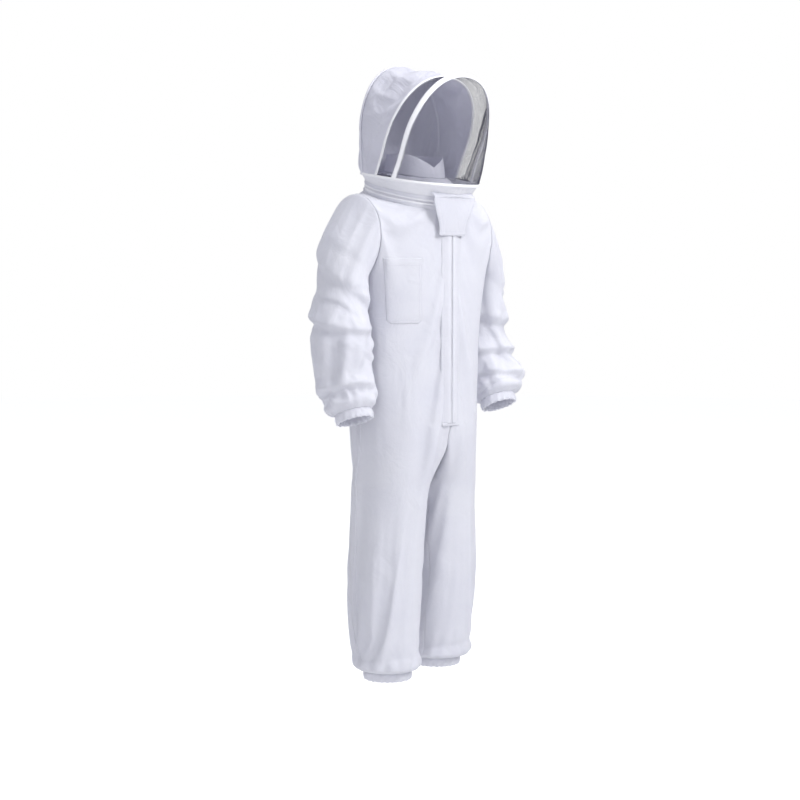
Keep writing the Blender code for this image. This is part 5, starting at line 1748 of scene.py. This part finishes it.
# ------------------------------------------------------------------ the net: real threads
def net(name, rows_of, pitch, r, nodes):
    """A woven net on a grid of rows: every thread is a three-sided strand."""
    verts, faces = [], []

    def strand(pts, lift, centre):
        n = len(pts)
        off = len(verts)
        for i, p in enumerate(pts):
            t = (pts[min(i + 1, n - 1)] - pts[max(i - 1, 0)])
            if t.length < 1e-9:
                t = Vector((0, 0, 1))
            t.normalize()
            out = p - centre
            out = out - t * out.dot(t)
            out = out.normalized() if out.length > 1e-6 else Vector((0, 0, 1))
            s = t.cross(out)
            c = p + out * lift
            verts.append(c + out * r)
            verts.append(c - out * r * 0.5 + s * r * 0.87)
            verts.append(c - out * r * 0.5 - s * r * 0.87)
        for i in range(n - 1):
            for k in range(3):
                l = (k + 1) % 3
                faces.append([off + 3 * i + k, off + 3 * i + l, off + 3 * i + 3 + l, off + 3 * i + 3 + k])
        faces.append([off + 2, off + 1, off])
        faces.append([off + 3 * n - 3, off + 3 * n - 2, off + 3 * n - 1])
    nr, nc = len(rows_of), len(rows_of[0])

    def sparse(pts):
        return pts[:-1:3] + [pts[-1]] if len(pts) > 9 else pts
    for row in rows_of:
        strand(sparse(row), r * 0.6, HEAD)
    for k in range(nc):
        strand(sparse([rows_of[j][k] for j in range(nr)]), -r * 0.6, HEAD)
    ob = mesh_object(name, verts, faces, NETTING)
    return rides(ob, "hood", nodes)


NET_PITCH = 0.0032
NET_R = 0.00012
arch_len = 0.84
nh_net = int(arch_len / 2 / NET_PITCH)
_, _, net_side, net_front = hood_rows(nh_net, 2, 2, int(0.10 / NET_PITCH), int(0.345 / NET_PITCH))
for rows_ in (net_side, net_front):
    for j, row in enumerate(rows_):
        for k, p in enumerate(row):
            v = j / (len(rows_) - 1)
            u = k / (len(row) - 1)
            d = (p - HEAD).normalized()
            w_ = math.sin(math.pi * v) * math.sin(math.pi * u) ** 0.5
            slack_ = nz(u * 3, v * 2.5, 0, 111) * 0.004 + nz(u * 9, v * 6, 0, 113) * 0.0015
            row[k] = p + d * slack_ * w_
net("side_veil", net_side, NET_PITCH, 0.00019, ["veil_side_net"])
net("front_veil", net_front, NET_PITCH, NET_R, ["veil_front_net"])
# a loose fold of net hangs behind the front hoop, on the wearer's left
b_low_, a_high_ = shifted("front", -0.004, nh_net), shifted("middle", 0.004, nh_net)
top_k = 2 * nh_net
span_k = int(nh_net * 0.62)
rows_ = []
nj = 26
for j in range(nj + 1):
    v = j / nj
    row = []
    for i in range(2 * span_k + 1):
        k = top_k - i / 2
        lo, up = int(math.floor(k)), min(top_k, int(math.floor(k)) + 1)
        pa, pb = b_low_[lo].lerp(b_low_[up], k - lo), a_high_[lo].lerp(a_high_[up], k - lo)
        u = i / (2 * span_k)
        reach = (0.030 * (1 - u) ** 0.7 + 0.004) * (0.85 + 0.35 * nz(u * 5, 0, 0, 131)) * smooth((1 - u) / 0.15)
        run = pb - pa
        w_ = min(0.85, reach / max(run.length, 1e-6))
        q = pa.lerp(pb, w_ * v)
        inward = (HEAD - q).normalized()
        fold = 0.0032 * (1 + math.sin(9.0 * v + 7 * u + 2.0 * nz(u * 6, v * 2, 0, 133))) * math.sin(math.pi * v) ** 0.5
        q = q + inward * (0.0022 + fold * smooth((1 - u) / 0.2))
        if i == 0:
            q.z += 0.001
        row.append(q)
    rows_.append(row)
net("veil_loose_fold", rows_, 0.001, 0.00020, [])
# spare net gathered along the lower edge, where it is caught in the band
for side, word in ((1, "left"), (-1, "right")):
    a0_, a1_ = band_angle(HOOPS["middle"][0] + 0.004), band_angle(HOOPS["front"][0] - 0.006)
    nx = 90
    rows_ = []
    for j in range(9):
        v = j / 8
        row = []
        for k in range(nx + 1):
            u = k / nx
            e = band_edge(lerp(a0_, a1_, u))
            if side < 0:
                e.x = -e.x
            inward = Vector((-e.x, -(e.y + BAND_F0), 0)).normalized()
            h = (0.010 + 0.008 * nz(u * 5, side, 0, 115)) * math.sin(math.pi * u) ** 0.4
            e = e + Vector((0, 0, 1)) * (0.003 + h * v) + inward * (0.004 + 0.0045 * math.sin(26 * u + 3 * v + 2 * nz(u * 4, v, 0, 117)) * v)
            row.append(e)
        rows_.append(row)
    net("veil_gather_" + word, rows_, 0.001, 0.00018, [])


# ------------------------------------------------------------------ throat flap
(tf, tz), (lf, lz) = FLAP_TOP, FLAP_BOTTOM


def flap_point(x, s, depth):
    f, z = lerp(tf, lf, s), lerp(tz, lz, s)
    run = Vector((0, lf - tf, lz - tz)).normalized()
    return P(x, f - run.z * depth, z + run.y * depth)


def flap():
    nu, nv = 40, 44
    verts, uvs = [], []
    for layer in (0, 1):
        for j in range(nv + 1):
            for i in range(nu + 1):
                u, v = 2 * i / nu - 1, j / nv
                half = lerp(FLAP_TOP_W + 0.010, FLAP_W - 0.002, smooth(min(1.0, v / 0.9))) / 2
                r = 0.006
                yb = (1 - v) * 0.104
                cut = 0.0
                if yb < r:
                    cut = r - math.sqrt(max(0.0, r * r - (r - yb) ** 2))
                x = u * (half - cut)
                s = v
                belly = 0.0035 * (1 - u * u) * math.sin(math.pi * min(1, v * 1.05)) - 0.0016 * u * u * v
                wave = 0.0010 * nz(u * 1.7, v * 2.2, 0, 101)
                edge = smooth(min((1 - abs(u)) * half / 0.004, (1 - v) * 0.104 / 0.004))
                depth = (0.0030 if layer else 0.0012) * (0.55 + 0.45 * edge) if layer else -0.0002
                verts.append(flap_point(x, s, depth + belly + wave))
                uvs.append((x, s * 0.104))
    n = (nu + 1) * (nv + 1)
    faces = []
    for j in range(nv):
        for i in range(nu):
            q = [j * (nu + 1) + i, j * (nu + 1) + i + 1, (j + 1) * (nu + 1) + i + 1, (j + 1) * (nu + 1) + i]
            faces.append([k + n for k in q])
            faces.append(q[::-1])
    rim = [j * (nu + 1) for j in range(nv + 1)] + [nv * (nu + 1) + i for i in range(1, nu + 1)]
    rim += [j * (nu + 1) + nu for j in reversed(range(nv))] + [i for i in reversed(range(1, nu))]
    for a, b in zip(rim, rim[1:] + rim[:1]):
        faces.append([a, b, b + n, a + n])
    ob = mesh_object("throat_flap_cloth", verts, faces, COTTON, uvs=uvs)
    fix_normals(ob)
    rides(ob, "flap", ["throat_flap"])

    def at(i, j):
        return verts[n + j * (nu + 1) + i]
    lines = []
    for k in (2, 5):
        lines.append(([at(k, j) for j in range(0, nv - k + 1)] + [at(i, nv - k) for i in range(k + 1, nu - k + 1)] + [at(nu - k, j) for j in reversed(range(0, nv - k))], Vector((0, -1, 0)), False))
    lines = [([p + Vector((0, -0.0002, 0)) for p in ln], nn_, c) for ln, nn_, c in lines]
    stitches(lines, "flap_stitching", "flap")


flap()
# the flap's root: a strip sewn to the band, from which the flap hangs
verts, uvs, faces = [], [], []
nu, nv = 40, 12
for layer in (0, 1):
    for j in range(nv + 1):
        for i in range(nu + 1):
            u, v = 2 * i / nu - 1, j / nv
            x = u * (FLAP_TOP_W + 0.010) / 2
            a = math.asin(max(-1.0, min(1.0, x / (NECK_R))))
            p = neck(a, TAPE_H + 0.012)
            hi = Vector((x, p.y + 0.0, p.z))
            top_p = hi + Vector((0, -0.0075, 0.003))
            bot_p = flap_point(x, 0.0, 0.0014)
            s = top_p.lerp(bot_p, v)
            s += Vector((0, -0.0035 * math.sin(math.pi * v), 0))
            s += Vector((0, -0.0012 if layer else 0.0010, 0))
            verts.append(s)
            uvs.append((x, v * 0.03))
n = (nu + 1) * (nv + 1)
for j in range(nv):
    for i in range(nu):
        q = [j * (nu + 1) + i, j * (nu + 1) + i + 1, (j + 1) * (nu + 1) + i + 1, (j + 1) * (nu + 1) + i]
        faces.append([k + n for k in q])
        faces.append(q[::-1])
rim = [j * (nu + 1) for j in range(nv + 1)] + [nv * (nu + 1) + i for i in range(1, nu + 1)]
rim += [j * (nu + 1) + nu for j in reversed(range(nv))] + [i for i in reversed(range(1, nu))]
for a, b in zip(rim, rim[1:] + rim[:1]):
    faces.append([a, b, b + n, a + n])
ob = mesh_object("flap_root", verts, faces, COTTON, uvs=uvs)
fix_normals(ob)
rides(ob, "hood", ())
for n_ in ("flap_hook_patch_left", "flap_hook_patch_right", "suit_loop_patch_left", "suit_loop_patch_right"):
    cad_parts[n_].data.materials.clear()
    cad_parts[n_].data.materials.append(LOOPS)

for o in [body, hood_ob] + [sleeves[s][0] for s in sleeves]:
    bpy.data.objects.remove(o, do_unlink=True)
